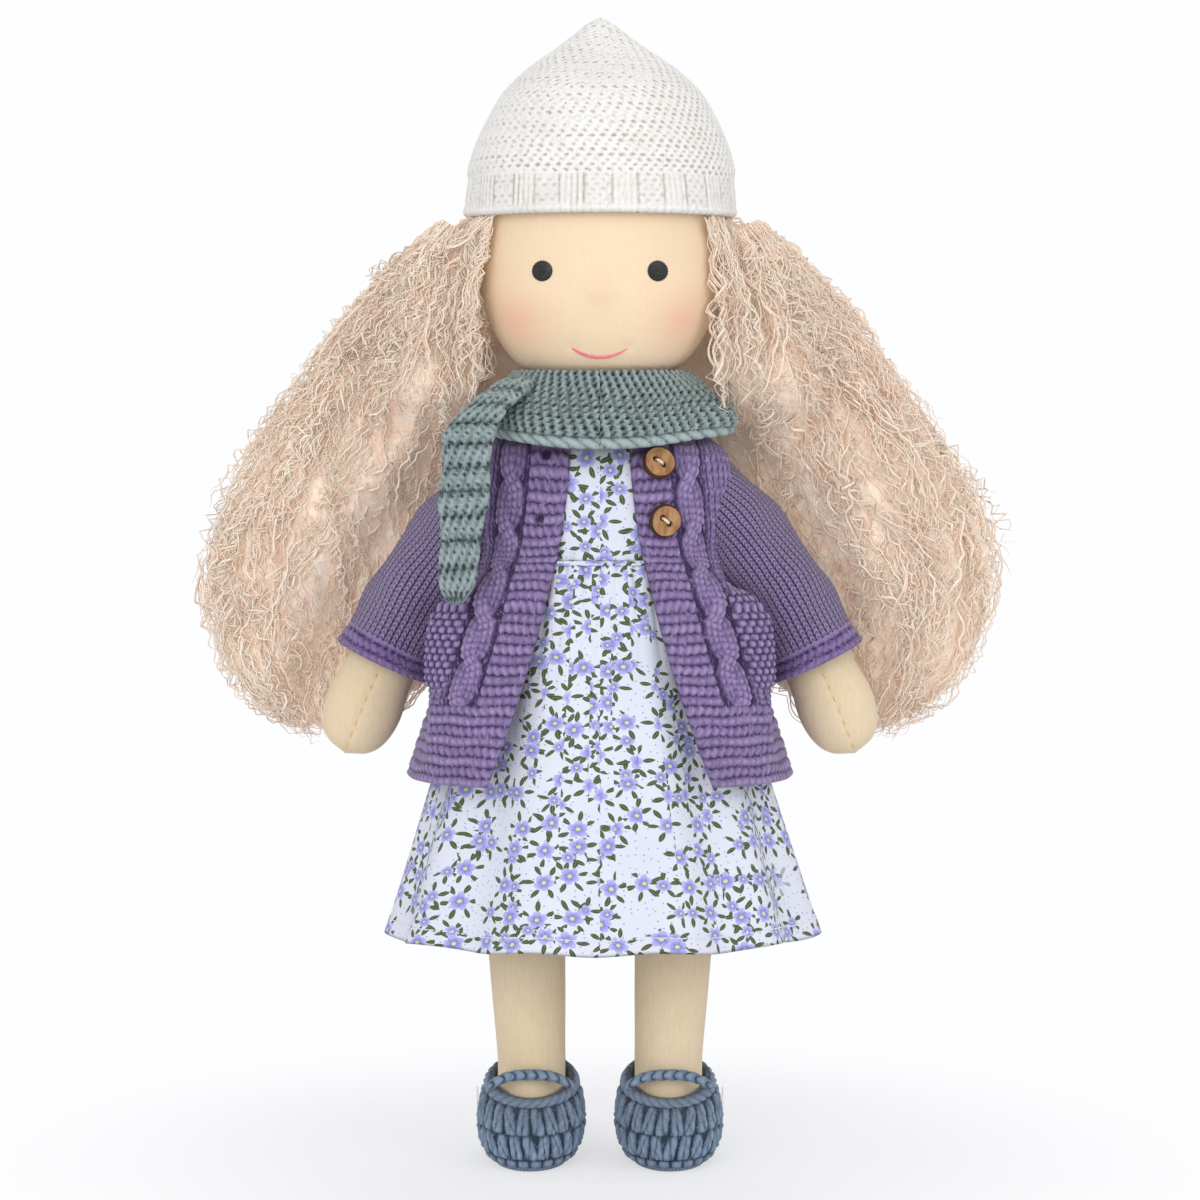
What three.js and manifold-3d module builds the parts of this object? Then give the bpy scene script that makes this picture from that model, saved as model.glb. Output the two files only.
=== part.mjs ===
// A cloth doll of the waldorf kind, standing: a wound wool head, stuffed knit limbs, a gathered
// dress, a knitted cardigan and hat, a crocheted scarf and crocheted strap shoes.
// Millimetres, +Z up. The doll faces -Y and its left hand is on +X. The origin is on the floor.

import * as THREE from "three";
import { mergeVertices } from "three/addons/utils/BufferGeometryUtils.js";
import Module from "manifold-3d";

const wasm = await Module();
wasm.setup();

// Clearances and walls
const seamGap = 0.3;
const layerGap = 0.5;
const legGap = 1;
const woolGap = 0.8;
const skinWall = 1;
const cottonWall = 1;
const cutOverrun = 5;

// How finely surfaces are divided, and the distance under which two points of one are the same
const mergeReach = seamGap / 300;
const slopeStep = seamGap;
const headRows = 12;
const headFacets = 24;
const bodyFacets = 24;
const armholeFacets = 20;
const shoeFacets = 20;
const soleFacets = 32;
const scarfFacets = 28;
const smallRoundFacets = 16;
const hairFacets = 18;
const flareRows = 5;
const tailRows = 16;

// Head: a firm ball on a short neck
const headHalfWidth = 40.5;
const headUnderside = 256;
const headHeight = 98;
const headHeightShares = [0, 0.03, 0.08, 0.15, 0.24, 0.34, 0.45, 0.57, 0.69, 0.8, 0.9, 0.965, 1];
const headRadiusShares = [0.36, 0.46, 0.66, 0.81, 0.92, 0.985, 1, 0.98, 0.92, 0.79, 0.58, 0.35, 0];
const neckRadius = 13;
const neckFoot = 242.4;
const tieHeight = 249;
const tieThreadRadius = 0.8;
const tiePull = 2.2;

// Face, on the front of the head
const noseHeight = 288;
const noseRadius = 5;
const noseRise = 2.2;
const eyeLine = 294;
const eyeLineSpread = 7;
const eyeLineDepth = 0.9;
const eyeReach = 18.6;
const eyeRadius = 3.2;
const eyeRise = 0.8;
const mouthHeight = 268.6;
const mouthHalfWidth = 9;
const mouthCurl = 2.6;
const mouthThread = 1.4;
const mouthRise = 0.6;

// Body: a stuffed bag with flat places at the shoulders and a socket over each leg
const bodyFoot = 146;
const bodyTop = 241.5;
const bodyHalfWidth = 40;
const bodyHalfDepth = 28;
const bodyHeightShares = [0, 0.02, 0.06, 0.12, 0.22, 0.38, 0.56, 0.7, 0.82, 0.9, 0.945, 0.98, 1];
const bodyWidthShares = [0, 0.5, 0.8, 0.94, 0.97, 0.9, 0.85, 0.97, 1.01, 0.95, 0.8, 0.58, 0.4];
const bodyDepthShares = [0, 0.5, 0.8, 0.94, 1, 0.93, 0.86, 0.88, 0.9, 0.84, 0.74, 0.62, 0.55];
const bodyRowShares = [0.02, 0.06, 0.12, 0.22, 0.38, 0.56, 0.7, 0.8, 0.87, 0.92, 0.955, 0.98];
const shoulderHalfWidth = 38;

// Arms: each follows one bent centre line from inside the shoulder to the hand's tip
const shoulderHeight = 215;
const armRootReach = 33;
const armRootHeight = 221;
const elbowReach = 62;
const elbowHeight = 197;
const elbowBack = 5;
const handBack = 3;
const handReach = 85.5;
const handHeight = 134;
const armRadius = 13;
const armLengthShares = [0, 0.2, 0.45, 0.68, 0.78, 0.87, 0.94, 0.98, 1];
const armRadiusShares = [0.66, 0.73, 0.84, 0.88, 0.9, 1, 0.86, 0.54, 0];
const armDepthShare = 0.86;

// Legs: a straight limb with a foot, and a round top in the body's socket
const legReach = 25;
const ankleReach = 23;
const hipHeight = 141;
const legRadius = 14;
const kneeRadius = 13.2;
const ankleRadius = 11.4;
const ankleHeight = 32;
const kneeHeight = 78;
const footHalfWidth = 10.6;
const footHalfLength = 19;
const footForward = 12;
const footHeight = 17;
const toeRoundShare = 1.12;

// Shoes: a flat sole, a bowl-shaped upper and a strap
const soleThickness = 3;
const soleHalfWidth = 16.4;
const soleHalfLength = 29.6;
const soleWaistShare = 0.22;
const soleWaistReach = 14;
const shoeForward = 8.5;
const toeWidenShare = 0.07;
const shoeWall = 2.4;
const shoeBulge = 3.6;
const shoeBulgeHeight = 17;
const shoeMouthHalfWidth = 14.6;
const shoeMouthHalfLength = 17.6;
const shoeMouthBack = 2.4;
const vampHeight = 20.5;
const heelHeight = 30.5;
const strapWidth = 5;
const strapThickness = 3;
const strapFront = 14.2;
const strapTop = 27.8;
const strapHalfSpan = 13;
const strapEndHeight = 21.8;
const tabWidth = 3.6;
const tabHeight = 8;
const tabThickness = 0.6;
const tabMiddle = 21;

// Dress: a plain bodice and a skirt gathered on to it
const waistHeight = 200;
const bodiceLift = 0.7;
const bodiceTop = 237;
const hemHeight = 74;
const hemHalfWidth = 69;
const hemHalfDepth = 51.5;
const hemFold = 2.6;
const foldCount = 10;
const skirtFlareShare = 1.15;

// Cardigan: two fronts and a back that flare to the hem, with sleeves set on at the armholes
const knitWall = 2;
const cardiganTop = 237.5;
const cardiganHem = 127;
const cardiganFlareTop = 184;
const cardiganHemHalfWidth = 62;
const cardiganHemHalfDepth = 46.5;
const cardiganFlareDepth = 30;
const cardiganFlareShare = 0.8;
const cardiganSquareShare = 0.8;
const cardiganBulge = 19;
const cardiganBulgeTop = 201;
const cardiganBulgeFull = 180;
const bulgeCrestTurn = 35;
const cardiganLift = 2.2;
const armholeRadius = 17;
const frontEdgeTop = 9.5;
const frontEdgeHem = 36.5;
const frontEdgeShare = 1.6;
const bandWidth = 13.5;
const bandRise = 0.6;
const sleeveRadius = 17;
const sleeveWall = 2.2;
const cuffShare = 0.74;
const sleeveRadiusShares = [0.86, 0.91, 0.92, 0.94, 0.93, 1];
const sleeveLengthShares = [0, 0.2, 0.4, 0.56, 0.66, 0.74];
const pocketTop = 189;
const pocketFoot = 159;
const pocketFromEdge = 22.5;
const pocketSideTurn = 27;
const pocketWall = 1.4;
const pocketLift = 1.6;

// Buttons, sewn on the left front's band
const buttonRadius = 5.7;
const buttonThickness = 2.4;
const buttonRim = 1.1;
const buttonDish = 0.7;
const buttonHoleRadius = 1;
const buttonHoleReach = 1.6;
const threadRadius = 0.55;
const upperButtonHeight = 234;
const lowerButtonHeight = 214.5;
const buttonBandReach = 7.6;

// Scarf: one wrap round the neck, its pointed end, and the tail that hangs in front
const scarfTop = 262;
const scarfFoot = 236.2;
const scarfEdgeShare = 0.45;
const scarfTopHalfWidth = 31;
const scarfTopHalfDepth = 29;
const scarfFootHalfWidth = 41.5;
const scarfFootHalfDepth = 41;
const scarfTopInner = 25.2;
const scarfFootInnerHalfWidth = 34;
const scarfFootInnerHalfDepth = 36.5;
const scarfSideRise = 4.5;
const scarfPoint = 7.5;
const scarfPointHeight = 246.5;
const scarfPointSpread = 9;
const scarfPointTurn = 0.25;
const tailWidth = 17;
const tailThickness = 4.2;
const tailRootReach = 25.6;
const tailRootOut = 22.8;
const tailReach = 40;
const tailTopHeight = 258;
const tailFoot = 186;
const tailOut = 38.4;
const tailTipShare = 0.12;
const tailRidge = 0.5;
const tailRootAcross = new THREE.Vector3(0.84, -0.54, 0);
const tailAcross = new THREE.Vector3(0.99, -0.1, 0);

// Hat: a knitted cone with a round top and a ribbed band
const hatBrim = 312.5;
const hatTop = 380;
const hatRadius = 44.3;
const hatWall = 2;
const hatHeightShares = [0, 0.06, 0.16, 0.28, 0.38, 0.5, 0.62, 0.74, 0.84, 0.92, 0.975, 1];
const hatRadiusShares = [0.995, 1.005, 0.99, 0.955, 0.915, 0.845, 0.745, 0.555, 0.34, 0.18, 0.08, 0];
const hatBandHeight = 12;
const hatRibRise = 0.6;
const hatRibGroups = 16;

// Wig: a cap sewn over the head, and three masses of curly yarn
const capWall = 1.1;
const capLift = 0.7;
const capFrontHeight = 319;
const capBackHeight = 290;
const hairSplit = 42.4;
const hairRootReach = 46;
const hairRootHeight = 308;
const hairMiddleReach = 84;
const hairMiddleHeight = 250;
const hairTipReach = 92;
const hairTipHeight = 138;
const hairHalfWidth = 43;
const hairLengthShares = [0, 0.08, 0.22, 0.4, 0.58, 0.74, 0.88, 0.96, 1];
const hairWidthShares = [0.2, 0.26, 0.43, 0.65, 0.93, 1.14, 0.95, 0.5, 0];
const hairInnerShare = 1.15;
const hairFootShare = 0.84;
const hairBackFace = 51;
const hairFrontFace = 9;
const hairBehindSleeve = 21;
const sleeveShadowReach = 97;
const hairFullReach = 122;
const aboveShoulder = 250;
const besideCheek = 272;
const hairWall = 3.5;
const hairCrownShare = 0.28;
const hairMouthShare = 0.95;
const hairRowShares = [0.36, 0.48, 0.6, 0.7, 0.8, 0.88];
const hairLeastFill = 0.35;
const hairLobes = 6;
const hairLobeRise = 1.6;
const hairBackTop = 311;
const hairBackFoot = 158;
const hairBackInner = 44.5;
const hairBackTopInner = 42.7;
const hairBackThickness = 6;

// Colours
const skinColour = 0xf2ddb8;
const woolColour = 0xefe6d2;
const stitchBlack = 0x18181a;
const mouthPink = 0xe87a85;
const hairColour = 0xe8d5c0;
const hatColour = 0xf2f0ea;
const scarfColour = 0x7f9a94;
const cardiganColour = 0x82699f;
const dressColour = 0xe9e8f4;
const woodColour = 0xb08560;
const threadColour = 0x3a2a20;
const shoeColour = 0x6f8ca8;
const tabColour = 0xf5f5f5;

const left = 1;
const right = -1;
const sides = [
  { name: "left", side: left },
  { name: "right", side: right },
];

// A material of one colour; cloth and yarn are rough, turned wood less so.
function finish(colour, roughness = 0.9) {
  return new THREE.MeshStandardMaterial({ color: colour, roughness, metalness: 0 });
}

// The surface of a geometry as one closed body whose faces point out.
function closedBody(geometry) {
  const bare = geometry.index ? geometry.toNonIndexed() : geometry.clone();
  bare.deleteAttribute("normal");
  bare.deleteAttribute("uv");
  bare.clearGroups();
  const merged = mergeVertices(bare, mergeReach);
  const corners = merged.index.array;
  const places = merged.getAttribute("position");
  const kept = [];
  let volume = 0;
  const a = new THREE.Vector3();
  const b = new THREE.Vector3();
  const c = new THREE.Vector3();
  for (let i = 0; i < corners.length; i += 3) {
    const [p, q, r] = [corners[i], corners[i + 1], corners[i + 2]];
    if (p === q || q === r || r === p) continue;
    a.fromBufferAttribute(places, p);
    b.fromBufferAttribute(places, q);
    c.fromBufferAttribute(places, r);
    volume += a.dot(b.cross(c));
    kept.push(p, q, r);
  }
  if (volume < 0) {
    for (let i = 0; i < kept.length; i += 3) {
      [kept[i + 1], kept[i + 2]] = [kept[i + 2], kept[i + 1]];
    }
  }
  merged.setIndex(kept);
  return merged;
}

// Moves every point of a geometry to the place that a rule gives it.
function reshape(geometry, rule) {
  const bare = closedBody(geometry);
  const places = bare.getAttribute("position");
  for (let i = 0; i < places.count; i += 1) {
    const [x, y, z] = rule(places.getX(i), places.getY(i), places.getZ(i));
    places.setXYZ(i, x, y, z);
  }
  return closedBody(bare);
}

// Two solids joined, or one cut by the other.
function solidOf(geometry) {
  const body = closedBody(geometry);
  const mesh = new wasm.Mesh({
    numProp: 3,
    vertProperties: new Float32Array(body.getAttribute("position").array),
    triVerts: new Uint32Array(body.index.array),
  });
  return new wasm.Manifold(mesh);
}

function geometryOf(solid) {
  const mesh = solid.getMesh();
  const geometry = new THREE.BufferGeometry();
  geometry.setAttribute("position", new THREE.BufferAttribute(mesh.vertProperties, 3));
  geometry.setIndex(new THREE.BufferAttribute(mesh.triVerts, 1));
  return geometry;
}

function cut(geometry, ...tools) {
  let solid = solidOf(geometry);
  for (const tool of tools) solid = solid.subtract(solidOf(tool));
  return geometryOf(solid);
}

function join(geometry, ...others) {
  let solid = solidOf(geometry);
  for (const other of others) solid = solid.add(solidOf(other));
  return geometryOf(solid);
}

// A smooth run of values over places: each slope is the mean of its neighbours'.
function smoothTable(places, values) {
  const slopes = places.map((_, i) => {
    const before = Math.max(i - 1, 0);
    const after = Math.min(i + 1, places.length - 1);
    return (values[after] - values[before]) / (places[after] - places[before]);
  });
  return (place) => {
    const inside = THREE.MathUtils.clamp(place, places[0], places[places.length - 1]);
    let i = 0;
    while (i < places.length - 2 && inside > places[i + 1]) i += 1;
    const span = places[i + 1] - places[i];
    const t = (inside - places[i]) / span;
    const rise = values[i + 1] - values[i];
    const startPull = slopes[i] * span - rise;
    const endPull = rise - slopes[i + 1] * span;
    return values[i] + rise * t + t * (1 - t) * (startPull * (1 - t) + endPull * t);
  };
}

// A turned solid on the Z axis. Its profile is a list of [radius, height].
function turned(profile, around) {
  const points = profile.map(([radius, height]) => new THREE.Vector2(radius, height));
  return closedBody(new THREE.LatheGeometry(points, around).rotateX(Math.PI / 2));
}

// A ring of cloth: turn runs once round, rise from 0 to 1 up it, depth from 0 inside to 1 outside.
function clothRing(around, levels, place) {
  const profile = [];
  for (let i = 0; i <= levels; i += 1) profile.push([2, i / levels]);
  for (let i = levels; i >= 0; i -= 1) profile.push([1, i / levels]);
  profile.push([2, 0]);
  return reshape(turned(profile, around), (x, y, z) => {
    return place(Math.atan2(y, x), z, Math.round(Math.hypot(x, y) - 1));
  });
}

// A round plate laid over a form: spread runs from 0 in the middle to 1 at the rim.
function roundPlate(around, rings, place) {
  const profile = [];
  for (let i = 0; i <= rings; i += 1) profile.push([i / rings, 1]);
  for (let i = rings; i >= 0; i -= 1) profile.push([i / rings, 0]);
  return reshape(turned(profile, around), (x, y, z) => {
    return place(Math.atan2(y, x), Math.hypot(x, y), Math.round(z));
  });
}

// A flat piece bent to shape: across and rise run from 0 to 1 over it, depth from 0 inside to 1 outside.
function bentPanel(columns, rows, place) {
  const box = new THREE.BoxGeometry(1, 1, 1, columns, 1, rows);
  return reshape(box, (x, y, z) => place(x + 0.5, z + 0.5, Math.round(0.5 - y)));
}

// A limb that swells and tapers along a centre line. Radii are a table over its length.
function limb(line, lengthShares, radii, around, depthShare = 1) {
  const radiusAt = smoothTable(lengthShares, radii);
  const first = lengthShares[0];
  const last = lengthShares[lengthShares.length - 1];
  const profile = [[0, first]];
  const steps = lengthShares.length;
  for (let i = 0; i <= steps; i += 1) {
    const share = first + (last - first) * Math.sin((i / steps) * Math.PI / 2);
    profile.push([Math.max(radiusAt(share), 0), share]);
  }
  profile.push([0, last]);
  return reshape(turned(profile, around), (x, y, share) => alongLine(line, share, x, y * depthShare));
}

// A place beside a centre line in the XZ plane: out is away from the body, ahead is along Y.
function alongLine(line, share, out, ahead) {
  const inside = THREE.MathUtils.clamp(share, 0, 1);
  const middle = line.getPoint(inside);
  const heading = line.getTangent(inside);
  return [middle.x - out * heading.z, middle.y + ahead, middle.z + out * heading.x];
}

// The mirror image of a piece of the left side, for the right side.
function onSide(geometry, side) {
  return side === left ? geometry : reshape(geometry, (x, y, z) => [-x, y, z]);
}

// HEAD

const headCentre = headUnderside + headHeight * 0.5;
const headShape = smoothTable(headHeightShares, headRadiusShares);

// How far the nose and the line tied across the eyes move the face, forward being negative.
function faceShift(x, y, z, noseShare = 1) {
  const front = THREE.MathUtils.clamp(-y / (headHalfWidth * 0.5), 0, 1);
  const nose = Math.exp(-((x / noseRadius) ** 2) - ((z - noseHeight) / noseRadius) ** 2);
  const line = Math.exp(-(((z - eyeLine) / eyeLineSpread) ** 2));
  return front * (eyeLineDepth * line - noseRise * nose * noseShare);
}

// A place on the head: turn round it, height as a share, and the distance off its skin.
function headPlace(turn, share, lift) {
  const radius = headHalfWidth * headShape(share);
  const middle = new THREE.Vector3(0, 0, headCentre);
  const place = new THREE.Vector3(
    radius * Math.cos(turn),
    radius * Math.sin(turn),
    headUnderside + headHeight * share,
  );
  const outward = place.clone().sub(middle).normalize();
  place.addScaledVector(outward, lift);
  place.y += faceShift(place.x, place.y, place.z);
  return [place.x, place.y, place.z];
}

// A place on the face above the point x, z of its front.
function facePlace(x, z, lift) {
  const share = (z - headUnderside) / headHeight;
  const radius = headHalfWidth * headShape(share);
  const turn = -Math.acos(x / radius);
  return headPlace(turn, share, lift);
}

// The ball of the head and its neck, drawn in or let out by a distance.
function headProfile(lift, neckEnd, rows) {
  const profile = [];
  for (let i = 0; i <= rows; i += 1) {
    const share = (1 + Math.cos((i / rows) * Math.PI)) / 2;
    const [radius, , height] = headPlace(0, share, lift);
    profile.push([Math.max(radius, 0), height]);
  }
  profile.push([neckRadius + lift, headUnderside - lift]);
  profile.push([neckRadius + lift, neckEnd]);
  return profile;
}

function onFace(geometry, noseShare) {
  return reshape(geometry, (x, y, z) => [x, y + faceShift(x, y, z, noseShare), z]);
}

function headSkin() {
  const outer = headProfile(0, neckFoot, headRows);
  const inner = headProfile(-skinWall, neckFoot, headRows).reverse();
  return onFace(turned([...outer, ...inner], headFacets), 1);
}

// Wound wool, drawn in where the thread ties the neck off.
function headCore() {
  const profile = headProfile(-skinWall - woolGap, tieHeight + tieThreadRadius * 3, 9);
  const bodyRadius = neckRadius - skinWall - woolGap;
  profile.push([bodyRadius - tiePull, tieHeight + tieThreadRadius]);
  profile.push([bodyRadius - tiePull, tieHeight - tieThreadRadius]);
  profile.push([bodyRadius, tieHeight - tieThreadRadius * 3]);
  profile.push([bodyRadius, neckFoot + skinWall]);
  profile.push([0, neckFoot + skinWall]);
  return onFace(turned(profile, smallRoundFacets), 0);
}

function neckTie() {
  const middle = neckRadius - skinWall - woolGap - tiePull + seamGap + tieThreadRadius;
  const profile = [];
  const sidesOfThread = 5;
  for (let i = 0; i <= sidesOfThread; i += 1) {
    const turn = (i / sidesOfThread) * Math.PI * 2;
    const radius = middle + tieThreadRadius * Math.cos(turn);
    profile.push([radius, tieHeight + tieThreadRadius * Math.sin(turn)]);
  }
  return turned(profile, smallRoundFacets);
}

// A small round of satin stitch.
function eye(side) {
  return roundPlate(14, 2, (turn, spread, depth) => {
    const x = side * eyeReach + eyeRadius * spread * Math.cos(turn);
    const z = eyeLine + eyeRadius * spread * Math.sin(turn);
    const crown = eyeRise * (1 - 0.6 * spread * spread);
    return facePlace(x, z, seamGap + crown * depth);
  });
}

// A smile of one row of stitches, thinner at its ends.
function mouth() {
  return bentPanel(12, 1, (across, rise, depth) => {
    const along = across * 2 - 1;
    const width = mouthThread * (1 - 0.6 * along * along);
    const x = mouthHalfWidth * along;
    const z = mouthHeight + mouthCurl * along * along + width * (rise - 0.5);
    return facePlace(x, z, seamGap + mouthRise * depth);
  });
}

// BODY

const bodyHeight = bodyTop - bodyFoot;
const bodyHeights = bodyHeightShares.map((share) => bodyFoot + bodyHeight * share);
const bodyWidthAt = smoothTable(bodyHeights, bodyWidthShares.map((share) => bodyHalfWidth * share));
const bodyDepthAt = smoothTable(bodyHeights, bodyDepthShares.map((share) => bodyHalfDepth * share));

// The heights of a garment's rows: its two ends and each row of the body between them.
function bodyRows(foot, top) {
  const between = bodyRowShares.map((share) => bodyFoot + bodyHeight * share);
  return [foot, ...between.filter((height) => height > foot + skinWall && height < top - skinWall), top];
}

// A place on a garment or on the body itself: lift is its distance off the body's skin.
function bodyPlace(turn, height, lift) {
  const width = bodyWidthAt(height);
  const slope = (bodyWidthAt(height + slopeStep) - bodyWidthAt(height - slopeStep)) / (slopeStep * 2);
  const level = 1 / Math.hypot(1, slope);
  const x = (width + lift * level) * Math.cos(turn);
  const side = shoulderHalfWidth + lift;
  const y = (bodyDepthAt(height) + lift * level) * Math.sin(turn);
  return [THREE.MathUtils.clamp(x, -side, side), y, height - lift * slope * level];
}

function bodySolid(lift) {
  const profile = [[0, 0]];
  for (const share of [...bodyRowShares, 1]) profile.push([1, share]);
  profile.push([0, 1]);
  return reshape(turned(profile, bodyFacets), (x, y, share) => {
    const bottom = bodyFoot - lift;
    const top = bodyTop;
    const height = bottom + (top - bottom) * share;
    const onAxis = Math.hypot(x, y) < 0.5;
    if (onAxis) return [0, 0, height];
    const turn = Math.atan2(y, x);
    const width = Math.max(bodyWidthAt(height) + lift, 0);
    const depth = Math.max(bodyDepthAt(height) + lift, 0);
    const side = shoulderHalfWidth + lift;
    return [THREE.MathUtils.clamp(width * Math.cos(turn), -side, side), depth * Math.sin(turn), height];
  });
}

// The room that a leg's round top needs as the leg swings forward.
function legRoom(side, clearance) {
  const radius = legRadius + clearance;
  const around = 12;
  const ball = new THREE.SphereGeometry(radius, around, 6).rotateX(Math.PI / 2);
  const reach = bodyHalfDepth * 2;
  const ahead = new THREE.CylinderGeometry(radius, radius, reach, around).translate(0, -reach / 2, 0);
  const down = new THREE.CylinderGeometry(radius, radius, reach, around).rotateX(Math.PI / 2);
  down.translate(0, 0, -reach / 2);
  return join(ball, ahead, down).translate(side * legReach, 0, hipHeight);
}

function neckHole() {
  const depth = skinWall * 4;
  const hole = new THREE.CylinderGeometry(neckRadius, neckRadius, depth, 12).rotateX(Math.PI / 2);
  return hole.translate(0, 0, bodyTop);
}

function bodyFilled(lift, socketClearance) {
  return cut(bodySolid(lift), legRoom(left, socketClearance), legRoom(right, socketClearance));
}

function torsoSkin() {
  const outer = bodyFilled(0, legGap);
  const inner = bodyFilled(-skinWall, legGap + skinWall);
  return cut(outer, inner, neckHole());
}

function torsoStuffing() {
  const wall = skinWall + layerGap;
  const under = new THREE.BoxGeometry(bodyHalfWidth * 2, bodyHalfWidth * 2, cutOverrun * 2);
  under.translate(0, 0, bodyTop - wall + cutOverrun);
  return cut(bodyFilled(-wall, legGap + wall + seamGap), under);
}

// ARMS

const armLine = new THREE.QuadraticBezierCurve3(
  new THREE.Vector3(armRootReach, 0, armRootHeight),
  new THREE.Vector3(elbowReach, elbowBack, elbowHeight),
  new THREE.Vector3(handReach, handBack, handHeight),
);

// Everything on the body's side of a plane beside the shoulder.
function insideShoulder(plane) {
  const reach = sleeveRadius * 4;
  const block = new THREE.BoxGeometry(reach, reach, reach);
  return block.translate(plane - reach / 2, 0, armRootHeight);
}

// An arm drawn in by a distance; the tip draws back as much.
function armSolid(drawnIn, around) {
  const length = armLine.getLength();
  const tip = 1 - drawnIn / length;
  const radii = armRadiusShares.map((share) => Math.max(armRadius * share - drawnIn, 0));
  const lengths = armLengthShares.map((share) => share * tip);
  return limb(armLine, lengths, radii, around, armDepthShare);
}

function armSkin() {
  const plane = shoulderHalfWidth + seamGap;
  return cut(armSolid(0, 12), armSolid(skinWall, 12), insideShoulder(plane));
}

function armStuffing() {
  const plane = shoulderHalfWidth + seamGap * 2;
  return cut(armSolid(skinWall + layerGap, 9), insideShoulder(plane));
}

// LEGS

function legSolid(drawnIn, around) {
  const foot = soleThickness + seamGap + drawnIn;
  const top = hipHeight + legRadius - drawnIn;
  const dome = legRadius - drawnIn;
  const profile = [[0, foot]];
  const heel = ankleRadius - drawnIn;
  profile.push([heel * 0.7, foot]);
  profile.push([heel * 0.94, foot + heel * 0.22]);
  profile.push([heel, foot + heel * 0.6]);
  profile.push([heel, ankleHeight]);
  profile.push([kneeRadius - drawnIn, kneeHeight]);
  profile.push([dome, hipHeight - legRadius]);
  const domeSteps = 4;
  for (let i = 0; i < domeSteps; i += 1) {
    const turn = (i / domeSteps) * Math.PI / 2;
    profile.push([dome * Math.cos(turn), hipHeight + dome * Math.sin(turn)]);
  }
  profile.push([0, top]);
  const shank = turned(profile, around);
  const toe = new THREE.SphereGeometry(1, around, 6).rotateX(Math.PI / 2);
  const footTop = footHeight - drawnIn;
  const halfHeight = (footTop - foot) / 2;
  toe.scale(footHalfWidth - drawnIn, footHalfLength - drawnIn, halfHeight * toeRoundShare);
  toe.translate(0, -footForward, foot + halfHeight);
  const flat = new THREE.BoxGeometry(footHalfWidth * 4, footHalfLength * 4, cutOverrun * 2);
  flat.translate(0, -footForward, foot - cutOverrun);
  return reshape(cut(join(shank, toe), flat), (x, y, z) => {
    const rise = THREE.MathUtils.clamp((z - ankleHeight) / (kneeHeight - ankleHeight), 0, 1);
    return [x + ankleReach + (legReach - ankleReach) * rise, y, z];
  });
}

function legSkin() {
  const opening = new THREE.CylinderGeometry(legRadius / 2, legRadius / 2, skinWall * 6, 10);
  opening.rotateX(Math.PI / 2).translate(legReach, 0, hipHeight + legRadius);
  return cut(legSolid(0, 12), legSolid(skinWall, 12), opening);
}

function legStuffing() {
  return legSolid(skinWall + layerGap, 9);
}

// SHOES

// The sole's outline, wider at the toe.
function soleOutline(turn, halfWidth, halfLength) {
  const y = halfLength * Math.sin(turn);
  const widen = 1 - toeWidenShare * Math.sin(turn);
  return [halfWidth * Math.cos(turn) * widen, y];
}

// The sole itself is drawn in at its waist, as a foot is, and stands on its ball and its heel.
function shoeSole() {
  const edge = soleThickness;
  const profile = [[0, 0], [1 - edge * 0.25 / soleHalfWidth, 0], [1, edge * 0.3], [1, edge * 0.75]];
  profile.push([1 - edge * 0.2 / soleHalfWidth, edge], [0, edge]);
  return reshape(turned(profile, soleFacets), (x, y, z) => {
    const spread = Math.hypot(x, y);
    const [outX, outY] = soleOutline(Math.atan2(y, x), soleHalfWidth, soleHalfLength);
    const toWaist = Math.min(Math.abs(outY) / soleWaistReach, 1);
    const waist = 1 - soleWaistShare * Math.cos((toWaist * Math.PI) / 2) ** 2;
    return [ankleReach + outX * waist * spread, outY * spread - shoeForward, z];
  });
}

// The upper: each rib of the bowl is a curve from the sole's edge, out, and in to the mouth.
function shoeUpper() {
  return clothRing(shoeFacets, 4, (turn, rise, depth) => {
    const drawnIn = shoeWall * (1 - depth);
    const [soleX, soleY] = soleOutline(turn, soleHalfWidth - seamGap - drawnIn, soleHalfLength - seamGap - drawnIn);
    const wide = shoeBulge - drawnIn;
    const [bulgeX, bulgeY] = soleOutline(turn, soleHalfWidth + wide, soleHalfLength + wide);
    const mouthX = (shoeMouthHalfWidth - drawnIn) * Math.cos(turn);
    const mouthY = (shoeMouthHalfLength - drawnIn) * Math.sin(turn);
    const back = (Math.sin(turn) + 1) / 2;
    const mouthZ = vampHeight + (heelHeight - vampHeight) * back;
    const start = (1 - rise) ** 2;
    const middle = 2 * rise * (1 - rise);
    const end = rise ** 2;
    const x = start * soleX + middle * bulgeX + end * mouthX;
    const y = start * (soleY - shoeForward) + middle * (bulgeY - shoeForward) + end * (mouthY + shoeMouthBack);
    const foot = soleThickness + seamGap;
    const z = start * foot + middle * shoeBulgeHeight + end * mouthZ;
    return [ankleReach + x, y, z];
  });
}

const strapLine = new THREE.CatmullRomCurve3(
  [-1, -0.55, 0, 0.55, 1].map((share) => {
    const rise = Math.sqrt(1 - share * share * 0.9);
    const height = strapEndHeight + (strapTop - strapEndHeight) * rise;
    return new THREE.Vector3(ankleReach + strapHalfSpan * share, -strapFront, height);
  }),
);

function shoeStrap() {
  const half = strapThickness / 2;
  const profile = [[0, 0]];
  for (const share of [0, 0.04, 0.2, 0.4, 0.6, 0.8, 0.96, 1]) {
    const end = share === 0 || share === 1 ? 0.7 : 1;
    profile.push([half * end, share]);
  }
  profile.push([0, 1]);
  const wide = strapWidth / strapThickness;
  return reshape(turned(profile, 8), (x, y, share) => alongLine(strapLine, share, x, y * wide));
}

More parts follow.
